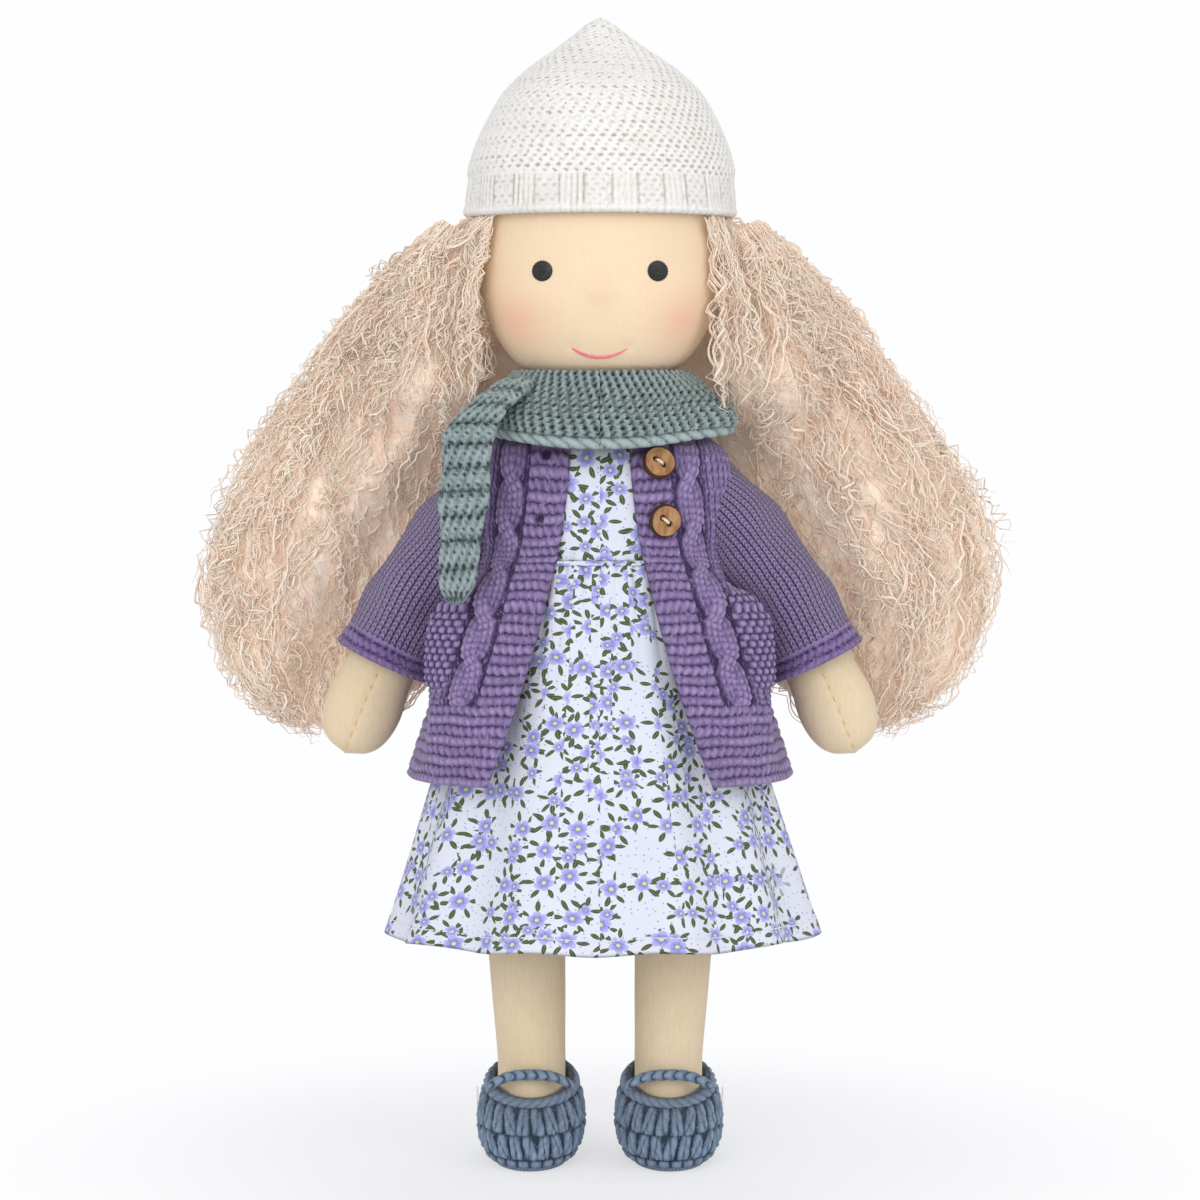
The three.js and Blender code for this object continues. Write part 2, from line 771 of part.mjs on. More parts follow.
function strapTab() {
  const reach = ankleReach + soleHalfWidth + seamGap * 2 + tabThickness;
  const tab = new THREE.BoxGeometry(tabThickness, tabWidth, tabHeight);
  return tab.translate(reach, -strapFront, tabMiddle);
}

// DRESS

function bodiceArmhole(side, radius) {
  const reach = shoulderHalfWidth;
  const hole = new THREE.CylinderGeometry(radius, radius, reach, armholeFacets).rotateZ(Math.PI / 2);
  return hole.translate(side * shoulderHalfWidth, 0, shoulderHeight);
}

function bodice() {
  const rows = bodyRows(waistHeight + seamGap, bodiceTop);
  const shell = clothRing(bodyFacets, rows.length - 1, (turn, rise, depth) => {
    const height = rows[Math.round(rise * (rows.length - 1))];
    return bodyPlace(turn, height, bodiceLift + cottonWall * depth);
  });
  return cut(shell, bodiceArmhole(left, armholeRadius), bodiceArmhole(right, armholeRadius));
}

// The skirt hangs from the waist in folds that deepen towards the hem.
function skirt() {
  return clothRing(foldCount * 5, 5, (turn, rise, depth) => {
    const fall = 1 - rise;
    const height = hemHeight + (waistHeight - hemHeight) * rise;
    const flare = fall ** skirtFlareShare;
    const fold = hemFold * fall * Math.cos(foldCount * turn);
    const topWidth = bodyWidthAt(waistHeight) + layerGap * 2;
    const topDepth = bodyDepthAt(waistHeight) + layerGap * 2;
    const wall = cottonWall * depth;
    const width = topWidth + (hemHalfWidth - topWidth) * flare + fold + wall;
    const deep = topDepth + (hemHalfDepth - topDepth) * flare + fold + wall;
    return [width * Math.cos(turn), deep * Math.sin(turn), height];
  });
}

// CARDIGAN

// The cardigan's inner face: on the body above, flared and squarer below, with the fronts
// standing out ahead of the arms.
function cardiganPlace(turn, height, lift) {
  const fall = Math.max((cardiganFlareTop - height) / (cardiganFlareTop - cardiganHem), 0);
  const flare = fall ** cardiganFlareShare;
  const top = shoulderHalfWidth + cardiganLift;
  const width = top + (cardiganHemHalfWidth - top) * flare + lift;
  const depth = cardiganFlareDepth + (cardiganHemHalfDepth - cardiganFlareDepth) * flare + lift;
  const square = (value) => Math.sign(value) * Math.abs(value) ** cardiganSquareShare;
  const standsOut = THREE.MathUtils.smoothstep(cardiganBulgeTop - height, 0, cardiganBulgeTop - cardiganBulgeFull);
  const ahead = THREE.MathUtils.smoothstep(Math.sin(-turn), 0.34, 0.6) * Math.sqrt(Math.abs(Math.cos(turn)));
  const bulge = cardiganBulge * standsOut * (1 - fall) * ahead * Math.sign(Math.cos(turn));
  const looseX = width * square(Math.cos(turn)) + bulge;
  const looseY = depth * square(Math.sin(turn));
  if (height <= cardiganFlareTop) return [looseX, looseY, height];
  const [x, y, z] = bodyPlace(turn, height, cardiganLift + lift);
  const chest = THREE.MathUtils.smoothstep(height, cardiganFlareTop, shoulderHeight);
  return [THREE.MathUtils.lerp(looseX, x, chest), THREE.MathUtils.lerp(looseY, y, chest), z];
}

// The turn at which a front ends, or at a distance from its edge, which slants out to the hem.
function frontEdgeTurn(height, fromEdge) {
  const fall = Math.max((cardiganTop - height) / (cardiganTop - cardiganHem), 0) ** frontEdgeShare;
  const reach = frontEdgeTop + (frontEdgeHem - frontEdgeTop) * fall + fromEdge;
  let ahead = -Math.PI / 2;
  let beside = -THREE.MathUtils.degToRad(bulgeCrestTurn);
  for (let i = 0; i < 24; i += 1) {
    const turn = (ahead + beside) / 2;
    const [x] = cardiganPlace(turn, height, 0);
    if (x < reach) ahead = turn;
    else beside = turn;
  }
  return (ahead + beside) / 2;
}

const cardiganRows = [
  ...Array.from({ length: flareRows }, (_, i) => cardiganHem + ((cardiganFlareTop - cardiganHem) * i) / flareRows),
  cardiganFlareTop,
  pocketTop + layerGap,
  ...bodyRows(cardiganFlareTop, cardiganTop).slice(1),
];

const sideSeamTurn = seamGap / (shoulderHalfWidth + cardiganLift);

function cardiganFront() {
  const bandColumns = 2;
  const columns = 9;
  const last = cardiganRows.length - 1;
  const panel = bentPanel(columns, last, (across, rise, depth) => {
    const height = cardiganRows[Math.round(rise * last)];
    const edge = frontEdgeTurn(height, 0);
    const bandEnd = frontEdgeTurn(height, bandWidth);
    const column = Math.round(across * columns);
    const onBand = Math.min(column / bandColumns, 1);
    const beyond = Math.max((column - bandColumns) / (columns - bandColumns), 0);
    const turn = edge + (bandEnd - edge) * onBand + (-sideSeamTurn - bandEnd) * beyond;
    const band = column <= bandColumns ? bandRise : 0;
    return cardiganPlace(turn, height, (knitWall + band) * depth);
  });
  return cut(panel, bodiceArmhole(left, armholeRadius));
}

function cardiganBack() {
  const last = cardiganRows.length - 1;
  const panel = bentPanel(12, last, (across, rise, depth) => {
    const height = cardiganRows[Math.round(rise * last)];
    const turn = sideSeamTurn + (Math.PI - sideSeamTurn * 2) * across;
    return cardiganPlace(turn, height, knitWall * depth);
  });
  return cut(panel, bodiceArmhole(left, armholeRadius), bodiceArmhole(right, armholeRadius));
}

function pocket() {
  return bentPanel(5, 5, (across, rise, depth) => {
    const height = pocketFoot + (pocketTop - pocketFoot) * rise;
    const start = frontEdgeTurn(height, pocketFromEdge);
    const turn = start + (-THREE.MathUtils.degToRad(pocketSideTurn) - start) * across;
    return cardiganPlace(turn, height, knitWall + pocketLift + pocketWall * depth);
  });
}

function sleeveSolid(drawnIn, endShare) {
  const radii = sleeveRadiusShares.map((share) => sleeveRadius * share - drawnIn);
  const lengths = sleeveLengthShares.map((share) => (share * endShare) / cuffShare);
  return limb(armLine, lengths, radii, 16);
}

function sleeve() {
  const overrun = cutOverrun / armLine.getLength();
  const inner = sleeveSolid(sleeveWall, cuffShare + overrun);
  const shoulderCut = insideShoulder(shoulderHalfWidth + cardiganLift + knitWall + layerGap);
  return cut(sleeveSolid(0, cuffShare), inner, shoulderCut);
}

// BUTTONS

// Where a button sits on the left front's band, and which way it faces.
function buttonSeat(height) {
  const turn = frontEdgeTurn(height, buttonBandReach);
  const seat = knitWall + bandRise;
  const step = slopeStep * 2;
  const face = new THREE.Vector3(...cardiganPlace(turn, height, seat));
  const beside = new THREE.Vector3(...cardiganPlace(turn + step / bodyHalfDepth, height, seat)).sub(face);
  const above = new THREE.Vector3(...cardiganPlace(turn, height + step, seat)).sub(face);
  return { face, outward: beside.cross(above).normalize() };
}

function seated(geometry, height) {
  const { face, outward } = buttonSeat(height);
  const turn = new THREE.Quaternion().setFromUnitVectors(new THREE.Vector3(0, 0, 1), outward);
  return geometry.applyQuaternion(turn).translate(face.x, face.y, face.z);
}

// A turned wooden disc with a raised rim and two holes, on the Z axis.
function buttonBlank() {
  const foot = layerGap * 2;
  const top = foot + buttonThickness;
  const inner = buttonRadius - buttonRim;
  const profile = [[0, foot], [buttonRadius - buttonDish, foot], [buttonRadius, foot + buttonDish]];
  profile.push([buttonRadius, top - buttonDish], [buttonRadius - buttonDish / 2, top]);
  profile.push([inner, top], [inner - buttonDish, top - buttonDish], [0, top - buttonDish]);
  const holes = [-1, 1].map((hand) => {
    const hole = new THREE.CylinderGeometry(buttonHoleRadius, buttonHoleRadius, buttonThickness * 2, 6);
    return hole.rotateX(Math.PI / 2).translate(hand * buttonHoleReach, 0, foot + buttonThickness / 2);
  });
  return cut(turned(profile, 16), ...holes);
}

// The sewing thread: up through one hole, across, and down through the other.
function buttonThread() {
  const top = layerGap * 2 + buttonThickness - buttonDish + seamGap;
  const posts = [-1, 1].map((hand) => {
    const length = top - seamGap + threadRadius;
    const post = new THREE.CylinderGeometry(threadRadius, threadRadius, length, 6).rotateX(Math.PI / 2);
    return post.translate(hand * buttonHoleReach, 0, seamGap + length / 2);
  });
  const bar = new THREE.CylinderGeometry(threadRadius, threadRadius, buttonHoleReach * 2, 6);
  bar.rotateZ(Math.PI / 2).translate(0, 0, top + threadRadius);
  return join(posts[0], posts[1], bar);
}

// SCARF

// The wrap: a thick band that widens downwards, with one corner of its end standing out.
function scarfWrap() {
  return clothRing(scarfFacets, 4, (turn, rise, depth) => {
    const foot = scarfFoot + scarfSideRise * Math.cos(turn) ** 2;
    const height = foot + (scarfTop - foot) * rise;
    const innerWidth = THREE.MathUtils.lerp(scarfFootInnerHalfWidth, scarfTopInner, rise);
    const innerDepth = THREE.MathUtils.lerp(scarfFootInnerHalfDepth, scarfTopInner, rise);
    if (!depth) return [innerWidth * Math.cos(turn), innerDepth * Math.sin(turn), height];
    const round = scarfEdgeShare + (1 - scarfEdgeShare) * Math.max(Math.sin(rise * Math.PI), 0) ** 0.6;
    const width = THREE.MathUtils.lerp(scarfFootHalfWidth, scarfTopHalfWidth, rise);
    const deep = THREE.MathUtils.lerp(scarfFootHalfDepth, scarfTopHalfDepth, rise);
    const near = Math.exp(-(((height - scarfPointHeight) / scarfPointSpread) ** 2));
    const facing = Math.max(Math.cos(turn + scarfPointTurn), 0) ** 24;
    const point = scarfPoint * near * facing;
    const x = THREE.MathUtils.lerp(innerWidth, width, round) + point;
    return [x * Math.cos(turn), (THREE.MathUtils.lerp(innerDepth, deep, round) + point) * Math.sin(turn), height];
  });
}

// The tail: over the wrap's edge and down the front, with a round tip and a ridge along each row.
const tailLine = new THREE.CatmullRomCurve3([
  new THREE.Vector3(-tailRootReach, -tailRootOut, tailTopHeight),
  new THREE.Vector3(-tailReach * 0.82, -tailOut * 0.81, tailTopHeight - tailWidth * 0.4),
  new THREE.Vector3(-tailReach * 0.94, -tailOut * 0.93, tailTopHeight - tailWidth * 0.95),
  new THREE.Vector3(-tailReach * 0.98, -tailOut, tailTopHeight - tailWidth * 1.9),
  new THREE.Vector3(-tailReach, -tailOut, tailTopHeight - tailWidth * 3),
  new THREE.Vector3(-tailReach * 1.02, -tailOut, tailFoot),
]);

function scarfTail() {
  return bentPanel(4, tailRows, (across, rise, depth) => {
    const share = THREE.MathUtils.clamp(1 - rise, 0, 1);
    const middle = tailLine.getPoint(share);
    const heading = tailLine.getTangent(share);
    const fromTip = rise * tailLine.getLength();
    const round = Math.sqrt(Math.max(1 - (1 - Math.min(fromTip / (tailWidth / 2), 1)) ** 2, tailTipShare));
    const beside = (across - 0.5) * tailWidth * round;
    const ridge = (Math.round(rise * tailRows) % 2) * tailRidge;
    const thick = (tailThickness / 2 + ridge) * Math.sqrt(1 - (2 * across - 1) ** 2 * 0.75);
    const outward = new THREE.Vector3(0, heading.z, -heading.y).normalize();
    const turnedFront = THREE.MathUtils.smoothstep(share, 0, 0.3);
    const beyond = new THREE.Vector3().lerpVectors(tailRootAcross, tailAcross, turnedFront).normalize();
    const away = (depth * 2 - 1) * thick;
    return [
      middle.x + beside * beyond.x,
      middle.y + beside * beyond.y + outward.y * away,
      middle.z + outward.z * away,
    ];
  });
}

// HAT

const hatHeight = hatTop - hatBrim;
const hatShape = smoothTable(hatHeightShares, hatRadiusShares);

// The outer face is ribbed on the band; the inner face is drawn in by the knit's thickness.
function hat() {
  const around = hatRibGroups * 2;
  return roundPlate(around, 8, (turn, spread, depth) => {
    const top = hatTop - hatWall * (1 - depth);
    const share = 1 - spread ** 1.7;
    const height = hatBrim + (top - hatBrim) * share;
    const radius = hatRadius * hatShape(share) - hatWall * (1 - depth) * Math.min(spread * 3, 1);
    const column = Math.round((turn / (Math.PI * 2)) * around + around) % 2;
    const onBand = height < hatBrim + hatBandHeight;
    const rib = depth && onBand && column ? hatRibRise : 0;
    const shown = Math.max(radius + rib, 0) * (spread === 0 ? 0 : 1);
    return [shown * Math.cos(turn), shown * Math.sin(turn), height];
  });
}

// WIG

function wigCap() {
  return roundPlate(headFacets, 6, (turn, spread, depth) => {
    const back = (Math.sin(turn) + 1) / 2;
    const rim = capFrontHeight + (capBackHeight - capFrontHeight) * THREE.MathUtils.smoothstep(back, 0, 1);
    const rimShare = (rim - headUnderside) / headHeight;
    const share = 1 - (1 - rimShare) * spread ** 1.8;
    return headPlace(spread === 0 ? 0 : turn, spread === 0 ? 1 : share, capLift + capWall * depth);
  });
}

const hairLine = new THREE.QuadraticBezierCurve3(
  new THREE.Vector3(hairRootReach, 0, hairRootHeight),
  new THREE.Vector3(hairMiddleReach, 0, hairMiddleHeight),
  new THREE.Vector3(hairTipReach, 0, hairTipHeight),
);

// One side's hair: narrow at the temple, full below, lobed like its locks, and flat behind the sleeve.
// The locks hang as a loose layer round an empty middle, so it is a shell that is open at its foot.
function hairSide() {
  const widths = hairWidthShares.map((share) => hairHalfWidth * share);
  const widthAt = smoothTable(hairLengthShares, widths);
  const profile = [[0, 0]];
  for (const share of [0, 0.06, 0.14, 0.24]) profile.push([2, share]);
  for (const share of [...hairRowShares, hairMouthShare]) profile.push([2, share]);
  for (const share of [hairMouthShare, ...hairRowShares.toReversed(), hairCrownShare]) profile.push([1, share]);
  profile.push([0, hairCrownShare]);
  return reshape(turned(profile, hairFacets), (x, y, share) => {
    const turn = Math.atan2(y, x);
    const layer = Math.round(Math.hypot(x, y));
    const onAxis = layer === 0;
    const drawnIn = layer === 1 || share > hairCrownShare / 2 ? hairWall * (2 - Math.max(layer, 1)) : 0;
    const outward = widthAt(share) + hairLobeRise * Math.cos(hairLobes * turn) - drawnIn;
    const toSplit = (hairLine.getPoint(share).x - hairSplit) * hairInnerShare;
    const inward = Math.min(toSplit, widthAt(share) * hairFootShare) - drawnIn;
    const radius = Math.cos(turn) > 0 ? outward : Math.max(inward, 0);
    const [outX, , outZ] = alongLine(hairLine, share, onAxis ? 0 : radius * Math.cos(turn), 0);
    const reach = Math.max(outX, hairSplit + drawnIn);
    const outside = THREE.MathUtils.smoothstep(reach, sleeveShadowReach, hairFullReach);
    const beyond = Math.max(outside, THREE.MathUtils.smoothstep(outZ, aboveShoulder, besideCheek));
    const front = THREE.MathUtils.lerp(hairBehindSleeve, -hairFrontFace, beyond);
    const middle = (hairBackFace + front) / 2;
    const fill = Math.min(widthAt(share) / hairHalfWidth + hairLeastFill, 1);
    const deep = onAxis ? 0 : ((hairBackFace - front) / 2) * fill - drawnIn;
    return [reach, middle + deep * Math.sin(turn), outZ];
  });
}

// The hair that falls behind the head and shoulders.
function hairBack() {
  return bentPanel(10, 6, (across, rise, depth) => {
    const height = hairBackFoot + (hairBackTop - hairBackFoot) * rise;
    const along = across * 2 - 1;
    const reach = hairSplit - seamGap;
    const high = THREE.MathUtils.smoothstep(height, headUnderside, hairBackTop);
    const inner = THREE.MathUtils.lerp(hairBackInner, hairBackTopInner, high);
    const turnedIn = THREE.MathUtils.lerp(0.12, 0.55, high);
    const curve = 1 - turnedIn * (1 - Math.sqrt(1 - along * along * 0.96));
    const lobe = hairLobeRise * (Math.round(across * 10) % 2);
    const thin = hairBackThickness * 0.3 * along * along;
    const y = inner * curve + (hairBackThickness - lobe - thin) * depth;
    return [reach * along, y, height];
  });
}

// ASSEMBLY

const doll = new THREE.Group();

function add(name, geometry, material) {
  const mesh = new THREE.Mesh(geometry, material);
  mesh.name = name;
  doll.add(mesh);
}

const skin = finish(skinColour);
const wool = finish(woolColour, 1);
add("head_skin", headSkin(), skin);
add("head_core", headCore(), wool);
add("neck_tie", neckTie(), finish(tabColour));
add("eye_left", eye(left), finish(stitchBlack, 0.6));
add("eye_right", eye(right), finish(stitchBlack, 0.6));
add("mouth", mouth(), finish(mouthPink, 0.6));
add("torso_skin", torsoSkin(), skin);
add("torso_stuffing", torsoStuffing(), wool);

const hair = finish(hairColour);
add("wig_cap", wigCap(), hair);
add("hair_back", hairBack(), hair);
add("hat", hat(), finish(hatColour));

const cotton = finish(dressColour, 0.8);
add("dress_bodice", bodice(), cotton);
add("dress_skirt", skirt(), cotton);

const knit = finish(cardiganColour);
add("cardigan_back", cardiganBack(), knit);

for (const { name, side } of sides) {
  add(`arm_skin_${name}`, onSide(armSkin(), side), skin);
  add(`arm_stuffing_${name}`, onSide(armStuffing(), side), wool);
  add(`leg_skin_${name}`, onSide(legSkin(), side), skin);
  add(`leg_stuffing_${name}`, onSide(legStuffing(), side), wool);
  add(`shoe_sole_${name}`, onSide(shoeSole(), side), finish(shoeColour));
  add(`shoe_upper_${name}`, onSide(shoeUpper(), side), finish(shoeColour));
  add(`shoe_strap_${name}`, onSide(shoeStrap(), side), finish(shoeColour));
  add(`strap_tab_${name}`, onSide(strapTab(), side), finish(tabColour));
  add(`cardigan_front_${name}`, onSide(cardiganFront(), side), knit);
  add(`pocket_${name}`, onSide(pocket(), side), knit);
  add(`sleeve_${name}`, onSide(sleeve(), side), knit);
  add(`hair_${name}`, onSide(hairSide(), side), hair);
}

const buttons = [
  { name: "upper", height: upperButtonHeight },
  { name: "lower", height: lowerButtonHeight },
];
for (const { name, height } of buttons) {
  add(`button_${name}`, seated(buttonBlank(), height), finish(woodColour, 0.5));
  add(`button_thread_${name}`, seated(buttonThread(), height), finish(threadColour));
}

const crochet = finish(scarfColour);
add("scarf_wrap", scarfWrap(), crochet);
add("scarf_tail", scarfTail(), crochet);

export default doll;
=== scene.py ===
import math
import bpy
import bmesh
import numpy as np
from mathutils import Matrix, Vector


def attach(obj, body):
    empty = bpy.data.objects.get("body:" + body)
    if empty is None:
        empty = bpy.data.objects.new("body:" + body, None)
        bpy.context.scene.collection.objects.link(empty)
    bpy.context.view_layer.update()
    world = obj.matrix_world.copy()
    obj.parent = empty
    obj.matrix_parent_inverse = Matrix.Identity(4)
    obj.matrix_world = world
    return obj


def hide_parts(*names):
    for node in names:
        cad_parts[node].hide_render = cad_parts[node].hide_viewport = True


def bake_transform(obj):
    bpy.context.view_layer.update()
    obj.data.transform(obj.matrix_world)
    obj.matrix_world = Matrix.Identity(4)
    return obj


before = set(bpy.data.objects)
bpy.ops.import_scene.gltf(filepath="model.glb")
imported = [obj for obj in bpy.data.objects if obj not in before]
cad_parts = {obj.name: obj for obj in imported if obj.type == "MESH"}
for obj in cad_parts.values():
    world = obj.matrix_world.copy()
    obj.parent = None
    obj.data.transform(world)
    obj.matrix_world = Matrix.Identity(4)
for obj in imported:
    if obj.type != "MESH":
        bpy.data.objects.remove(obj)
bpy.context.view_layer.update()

# THE ROOM
# A sheet of pale card on the floor, soft even light all round, one large lamp in front and two
# smaller ones beside and behind. The camera stands in front of the doll, above its middle.
MM = 0.001
floor_colour = (0.86, 0.87, 0.9, 1.0)
floor_span = 6.0
camera_distance = 1210 * MM
camera_height = 255 * MM
camera_tilt = math.radians(3.28)
camera_lens = 108.9
camera_sensor = 36.0
camera_reach = 30
paper_white = (0.985, 0.988, 1.0, 1.0)
room_tone = (0.98, 0.98, 1.0, 1.0)
room_light = 0.70
shadow_reach = 0.08
clear_floor = 0.22
floor_glow = 0.6
lamp_target = Vector((0, 0, 0.2))


class Thread:
    # One value in a finish. A sum with it adds a Math node, also where it is taken from a number.
    def __init__(self, finish, outlet):
        self.finish = finish
        self.outlet = outlet

    def __add__(self, other):
        return self.finish.sum("ADD", self, other)

    def __sub__(self, other):
        return self.finish.sum("SUBTRACT", self, other)

    def __rsub__(self, other):
        return self.finish.sum("SUBTRACT", other, self)

    def __mul__(self, other):
        return self.finish.sum("MULTIPLY", self, other)

    def __truediv__(self, other):
        return self.finish.sum("DIVIDE", self, other)

    def __pow__(self, other):
        return self.finish.sum("POWER", self, other)


class Finish:
    # A material that is built up as expressions on threads.
    def __init__(self, name, **constants):
        self.material = bpy.data.materials.new(name)
        self.material.use_nodes = True
        self.tree = self.material.node_tree
        self.shader = self.tree.nodes["Principled BSDF"]
        for socket, value in constants.items():
            self.shader.inputs[socket.replace("_", " ")].default_value = value

    def node(self, kind, settings, values, outlet=0):
        made = self.tree.nodes.new(kind)
        for name, value in settings.items():
            setattr(made, name, value)
        for socket, value in values.items():
            self.feed(made.inputs[socket], value)
        return Thread(self, made.outputs[outlet])

    def feed(self, socket, value):
        if isinstance(value, Thread):
            self.tree.links.new(value.outlet, socket)
        else:
            socket.default_value = value

    def set(self, socket, value):
        self.feed(self.shader.inputs[socket], value)

    def sum(self, operation, a, b):
        return self.node("ShaderNodeMath", {"operation": operation}, {0: a, 1: b})

    def one(self, operation, a):
        return self.node("ShaderNodeMath", {"operation": operation}, {0: a})

    def mix(self, a, b, share):
        return self.node("ShaderNodeMix", {"data_type": "RGBA"}, {0: share, 6: a, 7: b}, 2)

    def step(self, value, low, high, to_low=0.0, to_high=1.0):
        settings = {"interpolation_type": "SMOOTHSTEP"}
        return self.node("ShaderNodeMapRange", settings, {0: value, 1: low, 2: high, 3: to_low, 4: to_high})

    def place(self):
        return self.node("ShaderNodeTexCoord", {}, {}, "Object")

    def flat(self):
        return self.node("ShaderNodeUVMap", {"uv_map": "flat"}, {})

    def split(self, vector, axis):
        return self.node("ShaderNodeSeparateXYZ", {}, {0: vector}, axis)

    def noise(self, scale, detail=2.0, vector=None, rough=0.5):
        values = {"Vector": vector or self.place(), "Scale": scale, "Detail": detail, "Roughness": rough}
        return self.node("ShaderNodeTexNoise", {}, values, 0)

    def stretched(self, vector, x, y, z):
        return self.node("ShaderNodeVectorMath", {"operation": "MULTIPLY"}, {0: vector, 1: (x, y, z)})

    def attribute(self, name):
        return self.node("ShaderNodeAttribute", {"attribute_name": name}, {}, "Fac")

    def bump(self, height, distance, strength=1.0):
        values = {"Height": height, "Distance": distance, "Strength": strength}
        self.set("Normal", self.node("ShaderNodeBump", {}, values))


def dye(red, green, blue):
    # The colour of a screen's red, green and blue, from 0 to 255, as the light it gives.
    light = [((c / 255 + 0.055) / 1.055) ** 2.4 if c > 10 else c / 3295 for c in (red, green, blue)]
    return (*light, 1.0)


def placed(name, mesh, finish):
    # Puts a mesh in the scene as a piece of its own, in one material.
    piece = bpy.data.objects.new(name, mesh)
    bpy.context.scene.collection.objects.link(piece)
    mesh.materials.clear()
    mesh.materials.append(finish.material)
    return piece


def seen_bare(tree):
    # 1 for the rays that show the room itself: straight from the camera, mirrored or let through.
    path = tree.nodes.new("ShaderNodeLightPath")
    outlet = path.outputs["Is Camera Ray"]
    for ray in ("Is Glossy Ray", "Is Transmission Ray"):
        either = tree.nodes.new("ShaderNodeMath")
        either.operation = "MAXIMUM"
        tree.links.new(outlet, either.inputs[0])
        tree.links.new(path.outputs[ray], either.inputs[1])
        outlet = either.outputs[0]
    return outlet


card = Finish("card", Roughness=0.9, Specular_IOR_Level=0.1)
card.set("Base Color", floor_colour)
spot_x = card.split(card.place(), "X")
spot_y = card.split(card.place(), "Y")
away = (spot_x * spot_x + spot_y * spot_y) ** 0.5
bare = Thread(card, seen_bare(card.tree))
glow = card.tree.nodes.new("ShaderNodeEmission")
glow.inputs["Color"].default_value = paper_white
blank = card.tree.nodes.new("ShaderNodeMixShader")
card.feed(blank.inputs[0], bare * card.step(away, shadow_reach, clear_floor, floor_glow, 1.0))
card.tree.links.new(card.shader.outputs[0], blank.inputs[1])
card.tree.links.new(glow.outputs[0], blank.inputs[2])
card.tree.links.new(blank.outputs[0], card.tree.nodes["Material Output"].inputs["Surface"])
bm = bmesh.new()
bmesh.ops.create_grid(bm, x_segments=1, y_segments=1, size=floor_span / 2)
card_sheet = bpy.data.meshes.new("floor_card")
bm.to_mesh(card_sheet)
bm.free()
placed("floor_card", card_sheet, card)

world = bpy.data.worlds.new("studio")
world.use_nodes = True
bpy.context.scene.world = world
sky = world.node_tree
background = sky.nodes["Background"]
background.inputs["Color"].default_value = room_tone
background.inputs["Strength"].default_value = room_light
white = sky.nodes.new("ShaderNodeBackground")
white.inputs["Color"].default_value = paper_white
white.inputs["Strength"].default_value = 1.0
choose = sky.nodes.new("ShaderNodeMixShader")
sky.links.new(seen_bare(sky), choose.inputs[0])
sky.links.new(background.outputs[0], choose.inputs[1])
sky.links.new(white.outputs[0], choose.inputs[2])
sky.links.new(choose.outputs[0], sky.nodes["World Output"].inputs["Surface"])

lamps = [
    ("lamp_front", (-0.6, -1.9, 0.8), 1.4, 14.6),
    ("lamp_side", (1.5, -1.2, 0.7), 1.0, 6.0),
    ("lamp_back", (0.3, 1.5, 1.5), 1.0, 7.0),
]
for name, spot, span, power in lamps:
    lamp = bpy.data.lights.new(name, "AREA")
    lamp.size = span
    lamp.energy = power
    held = bpy.data.objects.new(name, lamp)
    held.location = spot
    held.rotation_euler = (lamp_target - Vector(spot)).to_track_quat("-Z", "Y").to_euler()
    bpy.context.scene.collection.objects.link(held)

eye_piece = bpy.data.cameras.new("camera")
eye_piece.lens = camera_lens
eye_piece.sensor_width = camera_sensor
eye_piece.clip_end = camera_reach
camera = bpy.data.objects.new("camera", eye_piece)
camera.location = (0, -camera_distance, camera_height)
camera.rotation_euler = (math.pi / 2 - camera_tilt, 0, 0)
bpy.context.scene.collection.objects.link(camera)
bpy.context.scene.camera = camera
bpy.context.scene.view_settings.view_transform = "Standard"

# THE HEAD
# A hard ball of wound wool with a thread tied round its middle, which leaves a slight hollow at the
# eyes, and a small stitched nose. Cotton jersey is pulled tight over it and drawn in at the neck.
head_half_width = 40.5
head_foot = 256
head_height = 98
head_heights = [0, 0.03, 0.08, 0.15, 0.24, 0.34, 0.45, 0.57, 0.69, 0.8, 0.9, 0.965, 1]
head_widths = [0.36, 0.46, 0.66, 0.81, 0.92, 0.985, 1, 0.98, 0.92, 0.79, 0.58, 0.35, 0]
neck_radius = 13
neck_foot = 242.6
nose_height = 288
nose_radius = 5
nose_rise = 2.2
eye_line = 294
tie_depth = 0.9
tie_spread = 7
dimple_reach = 9.4
dimple_height = 269.6
dimple_radius = 1.6
dimple_depth = 0.8
blush_reach = 28
blush_height = 278
blush_half_width = 10
blush_half_height = 8.5
jersey_colour = dye(244, 219, 187)
jersey_shade = dye(236, 208, 164)
limb_colour = dye(232, 212, 180)
limb_shade = dye(214, 190, 146)
blush_colour = dye(244, 158, 136)


def smooth_table(places, values):
    # A smooth run of values over places, with each slope taken from the neighbours.
    places = np.array(places, float)
    values = np.array(values, float)
    before = np.maximum(np.arange(len(places)) - 1, 0)
    after = np.minimum(np.arange(len(places)) + 1, len(places) - 1)
    slopes = (values[after] - values[before]) / (places[after] - places[before])

    def at(place):
        inside = np.clip(place, places[0], places[-1])
        i = np.clip(np.searchsorted(places, inside) - 1, 0, len(places) - 2)
        span = places[i + 1] - places[i]
        t = (inside - places[i]) / span
        rise = values[i + 1] - values[i]
        start = slopes[i] * span - rise
        end = rise - slopes[i + 1] * span
        return values[i] + rise * t + t * (1 - t) * (start * (1 - t) + end * t)

    return at


def smooth_step(value, low, high):
    t = np.clip((value - low) / (high - low), 0, 1)
    return t * t * (3 - 2 * t)


def between(a, b, share):
    return a + (b - a) * share


def stack(x, y, z):
    return np.stack(np.broadcast_arrays(x, y, z), axis=-1).astype(float)


def unit(directions):
    return directions / np.maximum(np.linalg.norm(directions, axis=-1, keepdims=True), 1e-6)


